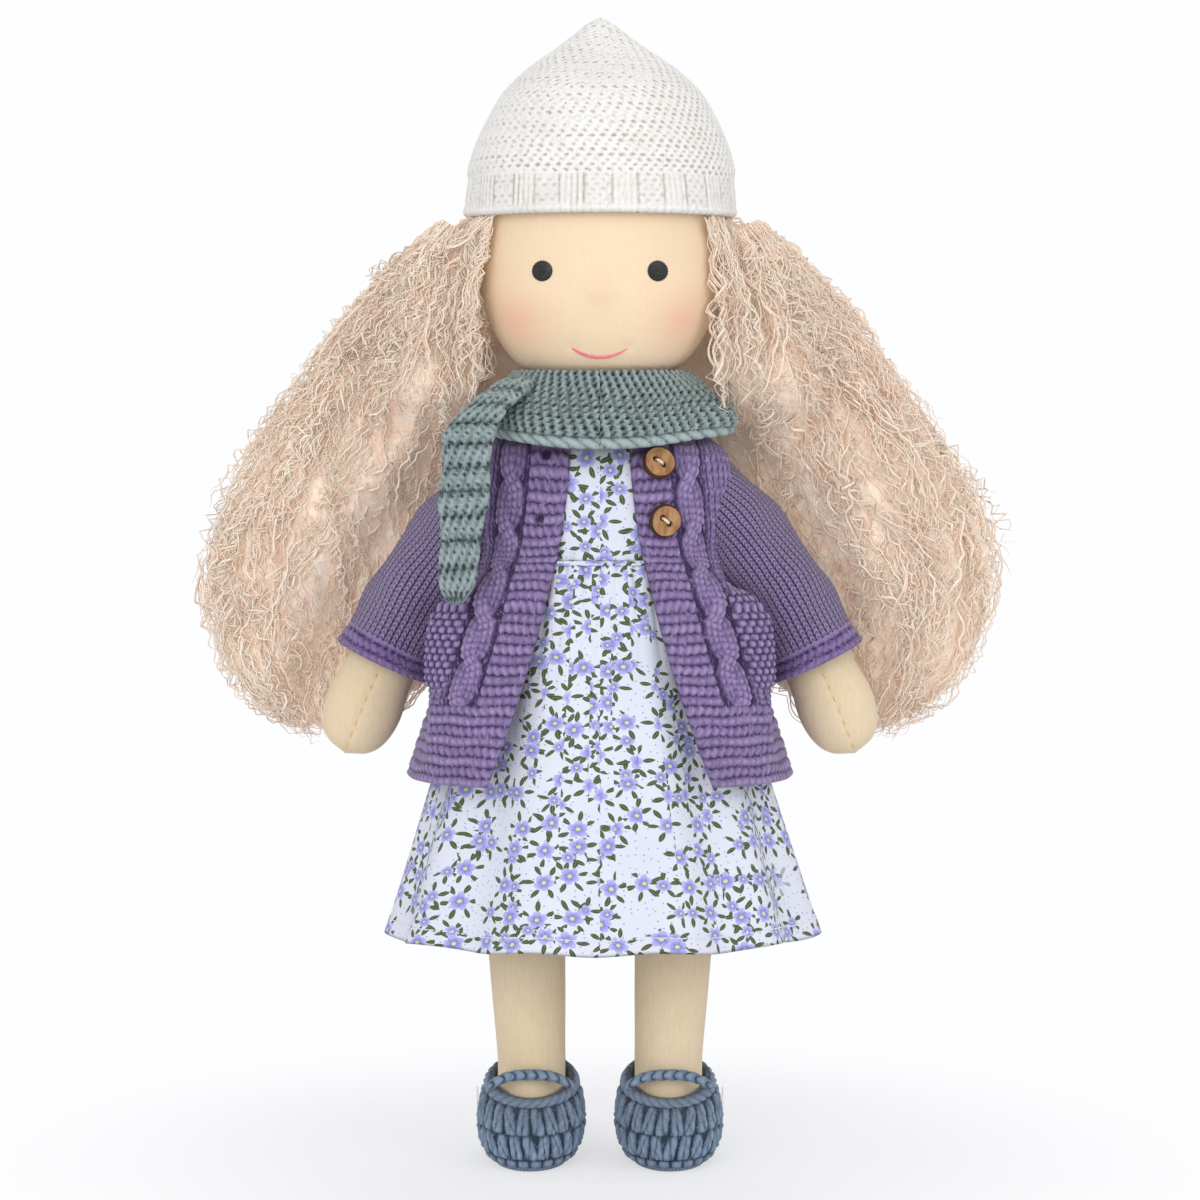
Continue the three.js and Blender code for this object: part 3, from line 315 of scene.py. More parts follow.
def set_depth(mesh, values):
    # How far each point is out of the hollows between stitches or hairs: the finishes paint shade into the
    # hollows and a highlight on the crowns.
    layer = mesh.attributes.new("depth", "FLOAT", "POINT")
    layer.data.foreach_set("value", np.broadcast_to(values, len(mesh.vertices)).astype(np.float32))


def woven_piece(name, columns, rows, rule, finish, flat=None):
    # A grid bent to shape: from across and along, each 0 to 1, the rule gives a point's place in
    # millimetres, some rules with its depth too. "flat" lays the piece out flat, for its print or knit.
    bm = bmesh.new()
    bmesh.ops.create_grid(bm, x_segments=columns, y_segments=rows, size=0.5)
    mesh = bpy.data.meshes.new(name)
    bm.to_mesh(mesh)
    bm.free()
    start = np.empty(len(mesh.vertices) * 3)
    mesh.vertices.foreach_get("co", start)
    across = start.reshape(-1, 3)[:, 0] + 0.5
    along = start.reshape(-1, 3)[:, 1] + 0.5
    places = rule(across, along)
    if isinstance(places, tuple):
        places, depth = places
        set_depth(mesh, depth)
    mesh.vertices.foreach_set("co", (places * MM).astype(np.float32).ravel())
    if flat is not None:
        corners = np.empty(len(mesh.loops), np.int32)
        mesh.loops.foreach_get("vertex_index", corners)
        middle = across[corners].reshape(-1, 4).mean(axis=1).repeat(4)
        laid = flat(across[corners], along[corners], middle)
        pattern = mesh.uv_layers.new(name="flat")
        pattern.data.foreach_set("uv", (laid * MM).astype(np.float32).ravel())
    sew_up(mesh)
    return placed(name, mesh, finish)


def sew_up(mesh):
    # Joins the seams, closes the open ends and turns the faces outwards.
    bm = bmesh.new()
    bm.from_mesh(mesh)
    bmesh.ops.remove_doubles(bm, verts=bm.verts, dist=2e-6)
    bmesh.ops.dissolve_degenerate(bm, dist=1e-7, edges=bm.edges)
    rims = [edge for edge in bm.edges if edge.is_boundary]
    if rims:
        bmesh.ops.holes_fill(bm, edges=rims, sides=0)
    bmesh.ops.recalc_face_normals(bm, faces=bm.faces)
    bm.to_mesh(mesh)
    bm.free()
    mesh.shade_smooth()


head_shape = smooth_table(head_heights, head_widths)


def face_shift(x, y, z):
    # How far the face moves back: in at the tied thread and the mouth's corners, and out at the nose.
    front = np.clip(-y / (head_half_width * 0.5), 0, 1)
    nose = np.exp(-((x / nose_radius) ** 2) - ((z - nose_height) / nose_radius) ** 2)
    tied = np.exp(-(((z - eye_line) / tie_spread) ** 2))
    beside_mouth = (np.abs(x) - dimple_reach) / dimple_radius
    smile = np.exp(-(beside_mouth ** 2) - ((z - dimple_height) / dimple_radius) ** 2)
    return front * (tie_depth * tied - nose_rise * nose + dimple_depth * smile)


def head_place(turn, share, lift):
    radius = head_half_width * head_shape(share)
    place = stack(radius * np.cos(turn), radius * np.sin(turn), head_foot + head_height * share)
    middle = np.array([0, 0, head_foot + head_height / 2])
    place = place + unit(place - middle) * np.asarray(lift)[..., None]
    place[..., 1] += face_shift(place[..., 0], place[..., 1], place[..., 2])
    return place


def face_place(x, z, lift):
    share = (z - head_foot) / head_height
    turn = -np.arccos(np.clip(x / (head_half_width * head_shape(share)), -1, 1))
    return head_place(turn, share, lift)


def jersey(name, blush=False):
    # Fine knitted cotton: thin upright columns of stitches, seen only close by.
    finish = Finish(name, Roughness=0.82, Sheen_Weight=0.18, Sheen_Roughness=0.5, Specular_IOR_Level=0.25)
    place = finish.place()
    shade = jersey_shade if blush else limb_shade
    mottle = finish.step(finish.noise(38, 3), 0.35, 0.7)
    colour = finish.mix(jersey_colour if blush else limb_colour, shade, mottle * 0.22)
    if blush:
        x = finish.split(place, "X") / MM
        z = finish.split(place, "Z") / MM
        front = finish.step(finish.split(place, "Y") / MM, -8, -26)
        reach = finish.one("ABSOLUTE", x)
        aside = (reach - blush_reach) / blush_half_width
        apart = (z - blush_height) / blush_half_height
        far = aside * aside + apart * apart
        soft = finish.one("EXPONENT", far * -1) * front
        tint = finish.step(finish.noise(160, 2), 0.2, 0.9, 0.75, 1.0)
        colour = finish.mix(colour, blush_colour, soft * tint * 0.5)
        under_nose = z - (nose_height - 1)
        tip = finish.one("EXPONENT", (x * x + under_nose * under_nose) / -14.0) * front
        colour = finish.mix(colour, blush_colour, tip * 0.1)
    columns = finish.noise(900, 2, finish.stretched(place, 1, 1, 0.22))
    rows = finish.noise(1500, 1, finish.stretched(place, 0.5, 0.5, 1))
    weave = columns * 0.7 + rows * 0.3
    # Painted shade: darker in the hollows between the fine stitch columns.
    colour = finish.mix(colour, shade, finish.step(weave, 0.62, 0.3) * 0.3)
    finish.set("Base Color", colour)
    finish.bump(weave, 0.00022, 0.55)
    return finish


skin_face = jersey("jersey_face", blush=True)
skin = jersey("jersey_skin")


def head_rule(across, along):
    turn = -np.pi / 2 + across * 2 * np.pi
    neck_share = 0.12
    share = np.clip((along - neck_share) / (1 - neck_share), 0, 1)
    rise = (1 - np.cos(share * np.pi)) / 2
    ball = head_place(turn, rise, 0 * along)
    fall = np.clip(along / neck_share, 0, 1)
    radius = between(neck_radius, head_half_width * head_widths[0], fall ** 2)
    neck = stack(radius * np.cos(turn), radius * np.sin(turn), between(neck_foot, head_foot, fall))
    on_neck = (along < neck_share)[:, None]
    return np.where(on_neck, neck, ball)


head = woven_piece("head", 160, 150, head_rule, skin_face)
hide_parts("head_skin", "head_core")
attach(head, "head")


def plain_thread(name, roughness, first, second, scale, detail=1):
    # A smooth sewing thread, dyed a little unevenly between two colours.
    finish = Finish(name, Roughness=roughness)
    finish.set("Base Color", finish.mix(first, second, finish.noise(scale, detail)))
    return finish


tie_cord = plain_thread("tie_cord", 0.9, dye(226, 218, 200), dye(190, 180, 160), 900, 2)
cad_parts["neck_tie"].data.materials.clear()
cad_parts["neck_tie"].data.materials.append(tie_cord.material)

# THE FACE
# Two round eyes and one smile, embroidered in shiny cotton: black satin stitch laid across each eye,
# and a single row of short slanting pink stitches for the mouth.
eye_reach = 18.6
eye_radius = 3.3
eye_crown = 0.8
eye_edge_stitches = 22
satin_pitch = 0.42
mouth_half_width = 8.9
mouth_height = 266.4
mouth_curve = 2.9
mouth_stitches = 13
sides = (("left", 1), ("right", -1))
eye_black = Finish("eye_stitch", Roughness=0.42, Specular_IOR_Level=0.5)
eye_lines = eye_black.noise(2600, 1, eye_black.stretched(eye_black.place(), 0.12, 1, 1))
eye_gleam = eye_black.step(eye_lines, 0.45, 0.75)
eye_black.set("Base Color", eye_black.mix(dye(8, 8, 9), dye(42, 40, 42), eye_gleam))
eye_black.bump(eye_lines, 0.0001, 0.6)
mouth_pink = Finish("mouth_stitch", Roughness=0.5)
mouth_lines = mouth_pink.noise(1800, 1, mouth_pink.stretched(mouth_pink.place(), 1, 0.4, 0.3))
mouth_pink.set("Base Color", mouth_pink.mix(dye(226, 104, 122), dye(246, 148, 156), mouth_lines))
mouth_pink.bump(mouth_lines, 0.0001, 0.6)


def eye_rule(side):
    # A low cushion of satin stitch, turned in under its own edge.
    def rule(across, along):
        turn = across * 2 * np.pi
        spread = np.minimum(along / 0.85, 1)
        under = smooth_step(along, 0.85, 1)
        edge = 1 + 0.035 * np.cos(eye_edge_stitches * turn)
        x = side * eye_reach + eye_radius * spread * edge * np.cos(turn)
        z = eye_line + eye_radius * spread * edge * np.sin(turn)
        lines = 0.07 * np.cos(z * 2 * np.pi / satin_pitch)
        lift = eye_crown * (1 - 0.75 * spread ** 2) + lines * (1 - spread ** 4)
        return face_place(x, z, lift * (1 - under) - 0.3 * under)
    return rule


for name, side in sides:
    eye = woven_piece("eye_" + name, 72, 26, eye_rule(side), eye_black)
    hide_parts("eye_" + name)
    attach(eye, "head")


def mouth_rule(across, along):
    # Short stitches lie side by side along the smile, each one a small ridge.
    turn = across * 2 * np.pi
    reach = along * 2 - 1
    width = 0.5 * np.sqrt(np.maximum(1 - reach ** 8, 0)) * (1 - 0.25 * reach ** 2)
    ridge = 0.72 + 0.28 * np.abs(np.sin(along * np.pi * mouth_stitches))
    slant = 0.25 * np.sin(turn)
    x = mouth_half_width * reach + slant
    z = mouth_height + mouth_curve * np.abs(reach) ** 2.2 + width * ridge * np.sin(turn)
    return face_place(x, z, 0.2 + 0.75 * width * ridge * np.cos(turn))


mouth = woven_piece("mouth", 12, 156, mouth_rule, mouth_pink)
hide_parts("mouth")
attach(mouth, "head")

# THE BODY, ARMS AND LEGS
# Bags of the same cotton jersey, stuffed firmly with wool. Each arm and leg is sewn up along one side
# and stitched to the body by its flat top, so that it can be swung.
body_foot = 146
body_top = 241.5
body_half_width = 40
body_half_depth = 28
body_shares = np.array([0, 0.02, 0.06, 0.12, 0.22, 0.38, 0.56, 0.7, 0.82, 0.9, 0.945, 0.98, 1])
body_width_shares = np.array([0, 0.5, 0.8, 0.94, 0.97, 0.9, 0.85, 0.97, 1.01, 0.95, 0.8, 0.58, 0.4])
body_depth_shares = np.array([0, 0.5, 0.8, 0.94, 1, 0.93, 0.86, 0.88, 0.9, 0.84, 0.74, 0.62, 0.55])
shoulder_half_width = 38
body_heights = body_foot + (body_top - body_foot) * body_shares
body_width = smooth_table(body_heights, body_half_width * body_width_shares)
body_depth = smooth_table(body_heights, body_half_depth * body_depth_shares)
arm_points = [np.array([33, 0, 221.0]), np.array([62, 5, 197.0]), np.array([85.5, 3, 134.0])]
arm_flatness = 0.86
seam_share = 0.05
hand_seam_start = 0.73
hand_seam_end = 0.985
hand_stitches = 7.5
hip_reach = 25
hip_height = 141
leg_radius = 14
hip_dome_radius = leg_radius + 1.2
ankle_reach = 23
ankle_height = 32
knee_height = 78
instep_height = 17.5
foot_length = 19


def body_rule(across, along):
    # A stuffed bag, hollowed from below over each leg's rounded top.
    turn = across * 2 * np.pi
    height = between(body_foot, body_top, (1 - np.cos(along * np.pi)) / 2)
    x = np.clip(body_width(height) * np.cos(turn), -shoulder_half_width, shoulder_half_width)
    y = body_depth(height) * np.sin(turn)
    for side in (-1, 1):
        near = np.hypot(x - side * hip_reach, y)
        dome = hip_height + np.sqrt(np.maximum(hip_dome_radius ** 2 - near ** 2, 0))
        height = np.where((near < hip_dome_radius) & (height < dome), dome, height)
    return stack(x, y, height)


torso = woven_piece("torso", 96, 90, body_rule, skin)
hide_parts("torso_skin", "torso_stuffing")
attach(torso, "torso")


def bend_line(points, share):
    # A place on a bent line of three points, and the direction in which the line runs there.
    t = np.clip(share, 0, 1)[..., None]
    a, b, c = points
    place = (1 - t) ** 2 * a + 2 * t * (1 - t) * b + t ** 2 * c
    heading = 2 * (1 - t) * (b - a) + 2 * t * (c - b)
    return place, unit(heading)


def beside_line(points, share, out, ahead):
    # A place beside that line: "out" to its outer side, seen from the front, and "ahead" along y.
    place, heading = bend_line(points, share)
    x = place[..., 0] - out * heading[..., 2]
    z = place[..., 2] + out * heading[..., 0]
    return stack(x, place[..., 1] + ahead, z)


def mirrored(rule, side):
    # The same rule for the other side of the body.
    def other(across, along):
        shown = rule(across, along)
        places, hollow = shown if isinstance(shown, tuple) else (shown, None)
        places = places * np.array([side, 1, 1])
        return places if hollow is None else (places, hollow)
    return other


arm_radius = smooth_table([0, 0.2, 0.45, 0.68, 0.78, 0.87, 0.94, 0.98, 1],
                          [8.6, 9.5, 10.9, 11.4, 11.9, 13, 11.2, 7, 0])


def arm_rule(across, along):
    # A tube with a round hand at its end and the closing seam's ridge up the front of the hand.
    turn = across * 2 * np.pi
    share = np.sin(along * np.pi / 2)
    radius = np.maximum(arm_radius(share), 0)
    out = radius * np.cos(turn)
    ahead = radius * arm_flatness * np.sin(turn)
    seam = np.exp(-((turn - 1.5 * np.pi) / seam_share) ** 2) * 0.35 * smooth_step(share, 0.6, 0.7)
    place = beside_line(arm_points, share, out, ahead + seam)
    place[..., 0] = np.maximum(place[..., 0], shoulder_half_width + 0.3)
    return place


def hand_seam_rule(across, along):
    # The sewing thread of the closing seam, in short running stitches up the front of the hand.
    turn = across * 2 * np.pi
    share = between(hand_seam_start, hand_seam_end, along)
    stitch = np.sqrt(np.clip(np.sin(along * 2 * np.pi * hand_stitches), 0, 1))
    radius = np.maximum(arm_radius(share), 0)
    thick = 0.22 * stitch + 0.02
    out = thick * np.cos(turn)
    ahead = -radius * arm_flatness + 0.3 - 0.12 * stitch - thick * np.sin(turn)
    return beside_line(arm_points, share, out, ahead)


seam_gold = plain_thread("seam_thread", 0.6, dye(226, 170, 84), dye(240, 196, 120), 700)
leg_heights = [3.3, 5.5, 8, 12, 32, 55, 78, 105, 127, 134, 141, 147, 151.5, 154, 155]
leg_widths = [8.2, 10.6, 11.2, 11.4, 11.4, 12.4, 13.2, 13.7, 14, 14, 14, 12.7, 9.4, 5.4, 0]
leg_width = smooth_table(leg_heights, leg_widths)


def leg_rule(across, along):
    # A tube with a short foot, a rounded top and a seam up the back of the leg.
    turn = across * 2 * np.pi
    height = between(leg_heights[0], leg_heights[-1], (1 - np.cos(along * np.pi)) / 2)
    radius = np.maximum(leg_width(height), 0)
    foot = 1 - smooth_step(height, 11, instep_height)
    front = np.clip(-np.sin(turn), 0, 1)
    toe = foot_length * np.sqrt(np.clip((instep_height - height) / 14, 0, 1))
    x = radius * np.cos(turn)
    y = radius * np.sin(turn) - foot * front * toe
    lean = np.clip((height - ankle_height) / (knee_height - ankle_height), 0, 1)
    seam = np.exp(-((turn - 0.5 * np.pi) / seam_share) ** 2) * 0.3
    return stack(x + between(ankle_reach, hip_reach, lean), y - seam, height)


for name, side in sides:
    arm = woven_piece("arm_" + name, 72, 110, mirrored(arm_rule, side), skin)
    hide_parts("arm_skin_" + name, "arm_stuffing_" + name)
    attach(arm, "arm_" + name)
    seam = woven_piece("hand_seam_" + name, 8, 150, mirrored(hand_seam_rule, side), seam_gold)
    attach(seam, "arm_" + name)
    leg = woven_piece("leg_" + name, 72, 150, mirrored(leg_rule, side), skin)
    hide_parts("leg_skin_" + name, "leg_stuffing_" + name)
    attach(leg, "leg_" + name)

# THE SHOES
# Crocheted in one piece of thick dusty-blue yarn: a flat oval sole, rounds of tall stitches for the
# upper, and a braided chain over the ankle's front, with a small tab of white tape sewn in its outer end.
sole_half_width = 16.4
sole_half_length = 29.6
sole_inset = 4.2
sole_thickness = 3.0
sole_waist_draw = 0.22
sole_waist_reach = 14
sole_rounds = 4
sole_stitches = 34
shoe_forward = 8.5
shoe_wall = 2.2
bowl_foot = 1.3
bowl_height = 12.5
bowl_side_swell = 4.6
bowl_end_swell = 4.2
mouth_side = 14.6
mouth_end = 17.6
mouth_setback = 2.4
mouth_front_height = 20.5
mouth_back_height = 30.5
post_count = 24
round_stops = np.array([0.0, 0.13, 0.49, 0.87, 1.0])
strap_forward = 14.2
strap_links = 8
tab_reach = 40.75
tab_forward = 15.2
tab_half_width = 1.9
tab_half_thickness = 0.32
tab_foot = 17.2
tab_top = 24.8
shoe_colour = dye(118, 138, 162)
# The next two colours are the painted shade in the hollows and the painted highlight on the crowns; they also
# tint the fibres.
shoe_shade = dye(42, 56, 74)
shoe_highlight_and_pale_fibres = dye(152, 170, 190)


def yarn(name, colour, shade, light, fuzz=0.3, ply=1200, turn=(1, 1, 0.35)):
    # Wool yarn: painted shade in the hollows between stitches, and hairy crowns made pale by a painted
    # highlight.
    finish = Finish(name, Roughness=0.88, Sheen_Weight=fuzz, Sheen_Roughness=0.45, Specular_IOR_Level=0.2)
    place = finish.place()
    hollow = finish.attribute("depth")
    # Painted shade in the hollows and a painted highlight on the crowns, from the depth attribute.
    base = finish.mix(shade, colour, finish.step(hollow, 0.05, 0.72))
    base = finish.mix(base, light, finish.step(hollow, 0.6, 1.0) * 0.5)
    hairs = finish.noise(ply, 3, finish.stretched(place, *turn), 0.65)
    patches = finish.noise(60, 2)
    base = finish.mix(base, light, finish.step(hairs, 0.52, 0.7) * 0.5)
    base = finish.mix(base, shade, finish.step(hairs, 0.46, 0.3) * 0.4)
    base = finish.mix(base, shade, finish.step(patches, 0.45, 0.75) * 0.12)
    finish.set("Base Color", base)
    finish.bump(hairs, 0.0004, 0.8)
    return finish


shoe_yarn = yarn("shoe_yarn", shoe_colour, shoe_shade, shoe_highlight_and_pale_fibres, ply=900)


def sole_edge(turn, half_width, half_length):
    # An oval a little narrower at the heel than at the toes.
    return half_width * np.cos(turn) * (1 - 0.07 * np.sin(turn)), half_length * np.sin(turn)


def sole_rule(across, along):
    # One oval: up the middle of the under side, round the edge and in over the top.
    turn = across * 2 * np.pi
    under = np.clip(along / 0.45, 0, 1)
    edge = np.clip((along - 0.45) / 0.1, 0, 1)
    over = np.clip((along - 0.55) / 0.45, 0, 1)
    spread = np.where(along < 0.55, under, 1 - over * 0.9)
    bulge = np.sin(edge * np.pi) * 0.5
    x, y = sole_edge(turn, sole_half_width - sole_inset + bulge, sole_half_length - sole_inset + bulge)
    at_waist = np.cos(np.minimum(np.abs(y) / sole_waist_reach, 1) * np.pi / 2) ** 2
    x = x * (1 - sole_waist_draw * at_waist)
    rounds = np.cos(spread * 2 * np.pi * sole_rounds)
    stitch = np.cos(turn * sole_stitches + np.pi * np.floor(spread * sole_rounds)) * spread
    z = between(0.0, sole_thickness, edge)
    relief = 0.22 * rounds + 0.16 * stitch
    z = z + np.where(along > 0.55, relief * 0.6, 0) + np.where(along < 0.45, (1 - rounds) * 0.12, 0)
    hollow = 0.5 + 0.5 * rounds * np.abs(stitch)
    return stack(ankle_reach + x * spread, y * spread - shoe_forward, z), hollow


def upper_place(turn, rise, drawn):
    # The bowl of the upper: from the sole's edge out, and in to the mouth, drawn in all over.
    foot_x, foot_y = sole_half_width - shoe_wall, sole_half_length - shoe_wall
    sole_x, sole_y = sole_edge(turn, foot_x - drawn, foot_y - drawn)
    swell_x, swell_y = sole_half_width + bowl_side_swell, sole_half_length + bowl_end_swell
    wide_x, wide_y = sole_edge(turn, swell_x - drawn, swell_y - drawn)
    mouth_x = (mouth_side - drawn) * np.cos(turn)
    mouth_y = (mouth_end - drawn) * np.sin(turn) + mouth_setback
    mouth_z = between(mouth_front_height, mouth_back_height, (np.sin(turn) + 1) / 2)
    start = (1 - rise) ** 2
    middle = 2 * rise * (1 - rise)
    end = rise ** 2
    x = start * sole_x + middle * wide_x + end * mouth_x
    y = start * (sole_y - shoe_forward) + middle * (wide_y - shoe_forward) + end * mouth_y
    z = start * bowl_foot + middle * bowl_height + end * mouth_z
    return stack(ankle_reach + x, y, z)


def tall_stitches(turn, rise):
    # Round loops at the foot, two rounds of tall leaning stitches with a row of gaps between, and a chain.
    row = np.clip(np.searchsorted(round_stops, rise, side="right") - 1, 0, 3)
    up = (rise - round_stops[row]) / (round_stops[row + 1] - round_stops[row])
    cell = turn / (2 * np.pi) * post_count + 0.5 * row
    number = np.floor(cell)
    lean = (up - 0.5) * (0.28 + 0.34 * np.sin(number * 2.4 + row * 1.7))
    offset = (cell - number - 0.5 - lean) / between(0.52, 0.37, up)
    post = np.sqrt(np.clip(1 - offset ** 2, 0, 1))
    ends = np.clip(1 - np.abs(2 * up - 1) ** 7, 0, 1) ** 0.5
    strands = 1 - 0.55 * np.exp(-(((offset - 1.4 * (up - 0.5) * np.cos(number * 1.9)) / 0.16) ** 2))
    strands = strands * (1 - 0.3 * np.exp(-(((offset + 1.2 * (up - 0.3)) / 0.14) ** 2)))
    ply = 0.9 + 0.1 * np.sin((offset * 1.4 + up * 5) * np.pi)
    tall = post * ends * strands * ply
    beads = np.abs(np.sin(cell * np.pi)) ** 0.6 * np.sin(up * np.pi) ** 0.5 * 0.8
    chain = np.sin(up * np.pi) ** 0.5 * (0.4 + 0.6 * np.abs(np.sin((cell * 1.25 + 1.2 * up) * np.pi)) ** 0.7)
    return np.where(row == 0, beads, np.where(row == 3, chain, tall))


def upper_rule(across, along):
    # The stitches stand out of the bowl on its outer face; the rest of the way is the smooth lining.
    turn = across * 2 * np.pi
    down = 1 - np.clip((along - 0.88) / 0.12, 0, 1) * 0.97
    rise = np.where(along < 0.88, np.clip(along / 0.84, 0, 1), down)
    inner = smooth_step(along, 0.84, 0.88)
    stitch = tall_stitches(turn, np.clip(rise, 0, 0.999))
    out = (1 - inner) * (1.9 * stitch - 1.0)
    place = upper_place(turn, rise, inner * shoe_wall)
    heading = unit(upper_place(turn, rise, -1.0) - upper_place(turn, rise, 0.0))
    # The lining's depth is halved: painted shade inside the shoe.
    return place + heading * out[:, None], np.clip(1.15 * stitch - 0.1, 0, 1) * (1 - inner * 0.5)


strap_shares = np.array([-1, -0.55, 0, 0.55, 1])
strap_height = smooth_table(strap_shares, 21.8 + 6 * np.sqrt(1 - strap_shares ** 2 * 0.9))


def strap_rule(across, along):
    # A braided chain: two strands that pass over each other like a row of V stitches.
    turn = across * 2 * np.pi
    reach = along * 2 - 1
    braid = np.abs(np.sin((along * strap_links + 0.62 * np.abs(np.sin(turn))) * np.pi)) ** 0.7
    close = np.sqrt(np.clip(1 - np.abs(reach) ** 14, 0, 1))
    thick = (1.2 + 0.7 * braid) * close
    wide = (2.5 + 0.5 * braid) * close
    groove = 0.6 * np.exp(-((np.cos(turn) / 0.3) ** 2))
    x = ankle_reach + mouth_side * reach
    y = -strap_forward + wide * np.sin(turn) * 0.8 + 0.4 * np.abs(reach) ** 2
    z = strap_height(reach) + 0.6 + (thick - groove) * np.cos(turn)
    return stack(x, y, z), np.clip(braid * (0.6 + 0.4 * np.abs(np.sin(turn))), 0, 1)


def tab_rule(across, along):
    # A short piece of blank tape that stands flat against the shoe.
    turn = across * 2 * np.pi
    round_off = np.minimum(1, (1 - np.abs(along * 2 - 1) ** 12))
    x = tab_reach + tab_half_thickness * np.cos(turn) * round_off
    y = -tab_forward + tab_half_width * np.sin(turn) * round_off
    return stack(x, y, between(tab_foot, tab_top, along))


tape = Finish("white_tape", Roughness=0.8)
tape_weave = tape.noise(1600, 1, tape.stretched(tape.place(), 1, 1, 0.4))
tape.set("Base Color", tape.mix(dye(238, 240, 240), dye(250, 250, 248), tape_weave))
tape.bump(tape_weave, 0.0001)

for name, side in sides:
    sole = woven_piece("shoe_sole_" + name, 136, 44, mirrored(sole_rule, side), shoe_yarn)
    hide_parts("shoe_sole_" + name)
    upper = woven_piece("shoe_upper_" + name, 364, 84, mirrored(upper_rule, side), shoe_yarn)
    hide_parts("shoe_upper_" + name)
    strap = woven_piece("shoe_strap_" + name, 20, 110, mirrored(strap_rule, side), shoe_yarn)
    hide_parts("shoe_strap_" + name)
    tab = woven_piece("strap_tab_" + name, 16, 20, mirrored(tab_rule, side), tape)
    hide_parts("strap_tab_" + name)
    for piece in (sole, upper, tab):
        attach(piece, "leg_" + name)
    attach(strap, "strap_" + name)

# THE DRESS
# White cotton lawn with a small flower print: a plain bodice, and a skirt gathered on to it at the
# waist with small pleats. The hem is turned up and held by one line of white stitches.
waist = 200
bodice_top = 237
hem = 74
hem_half_width = 69
hem_half_depth = 51.5
hem_turning = 5
hem_stitches = 210
waist_half_width = 35.3
waist_half_depth = 25.4
gathers = 20
bodice_girth = 205
skirt_girth = 380
bodice_outside = 0.85
skirt_outside = 0.88
lawn_thickness = 0.9
dot_pitch = 2.3 * MM
large_pitch = 10.6 * MM
small_pitch = 9.2 * MM
cotton_white = dye(224, 227, 238)
cotton_shade = dye(206, 206, 232)
petal_blue = dye(150, 152, 222)
petal_deep = dye(98, 98, 186)
petal_pale = dye(196, 196, 240)
leaf_green = dye(70, 84, 50)
leaf_pale = dye(138, 150, 108)
stamen_yellow = dye(222, 218, 150)


def body_place(turn, height, lift):
    # A place that stands off the body's side by "lift", square to it.
    width = body_width(height)
    slope = (body_width(height + 0.3) - body_width(height - 0.3)) / 0.6
    level = 1 / np.hypot(1, slope)
    side = shoulder_half_width + lift
    x = np.clip((width + lift * level) * np.cos(turn), -side, side)
    y = (body_depth(height) + lift * level) * np.sin(turn)
    return stack(x, y, height - lift * slope * level)


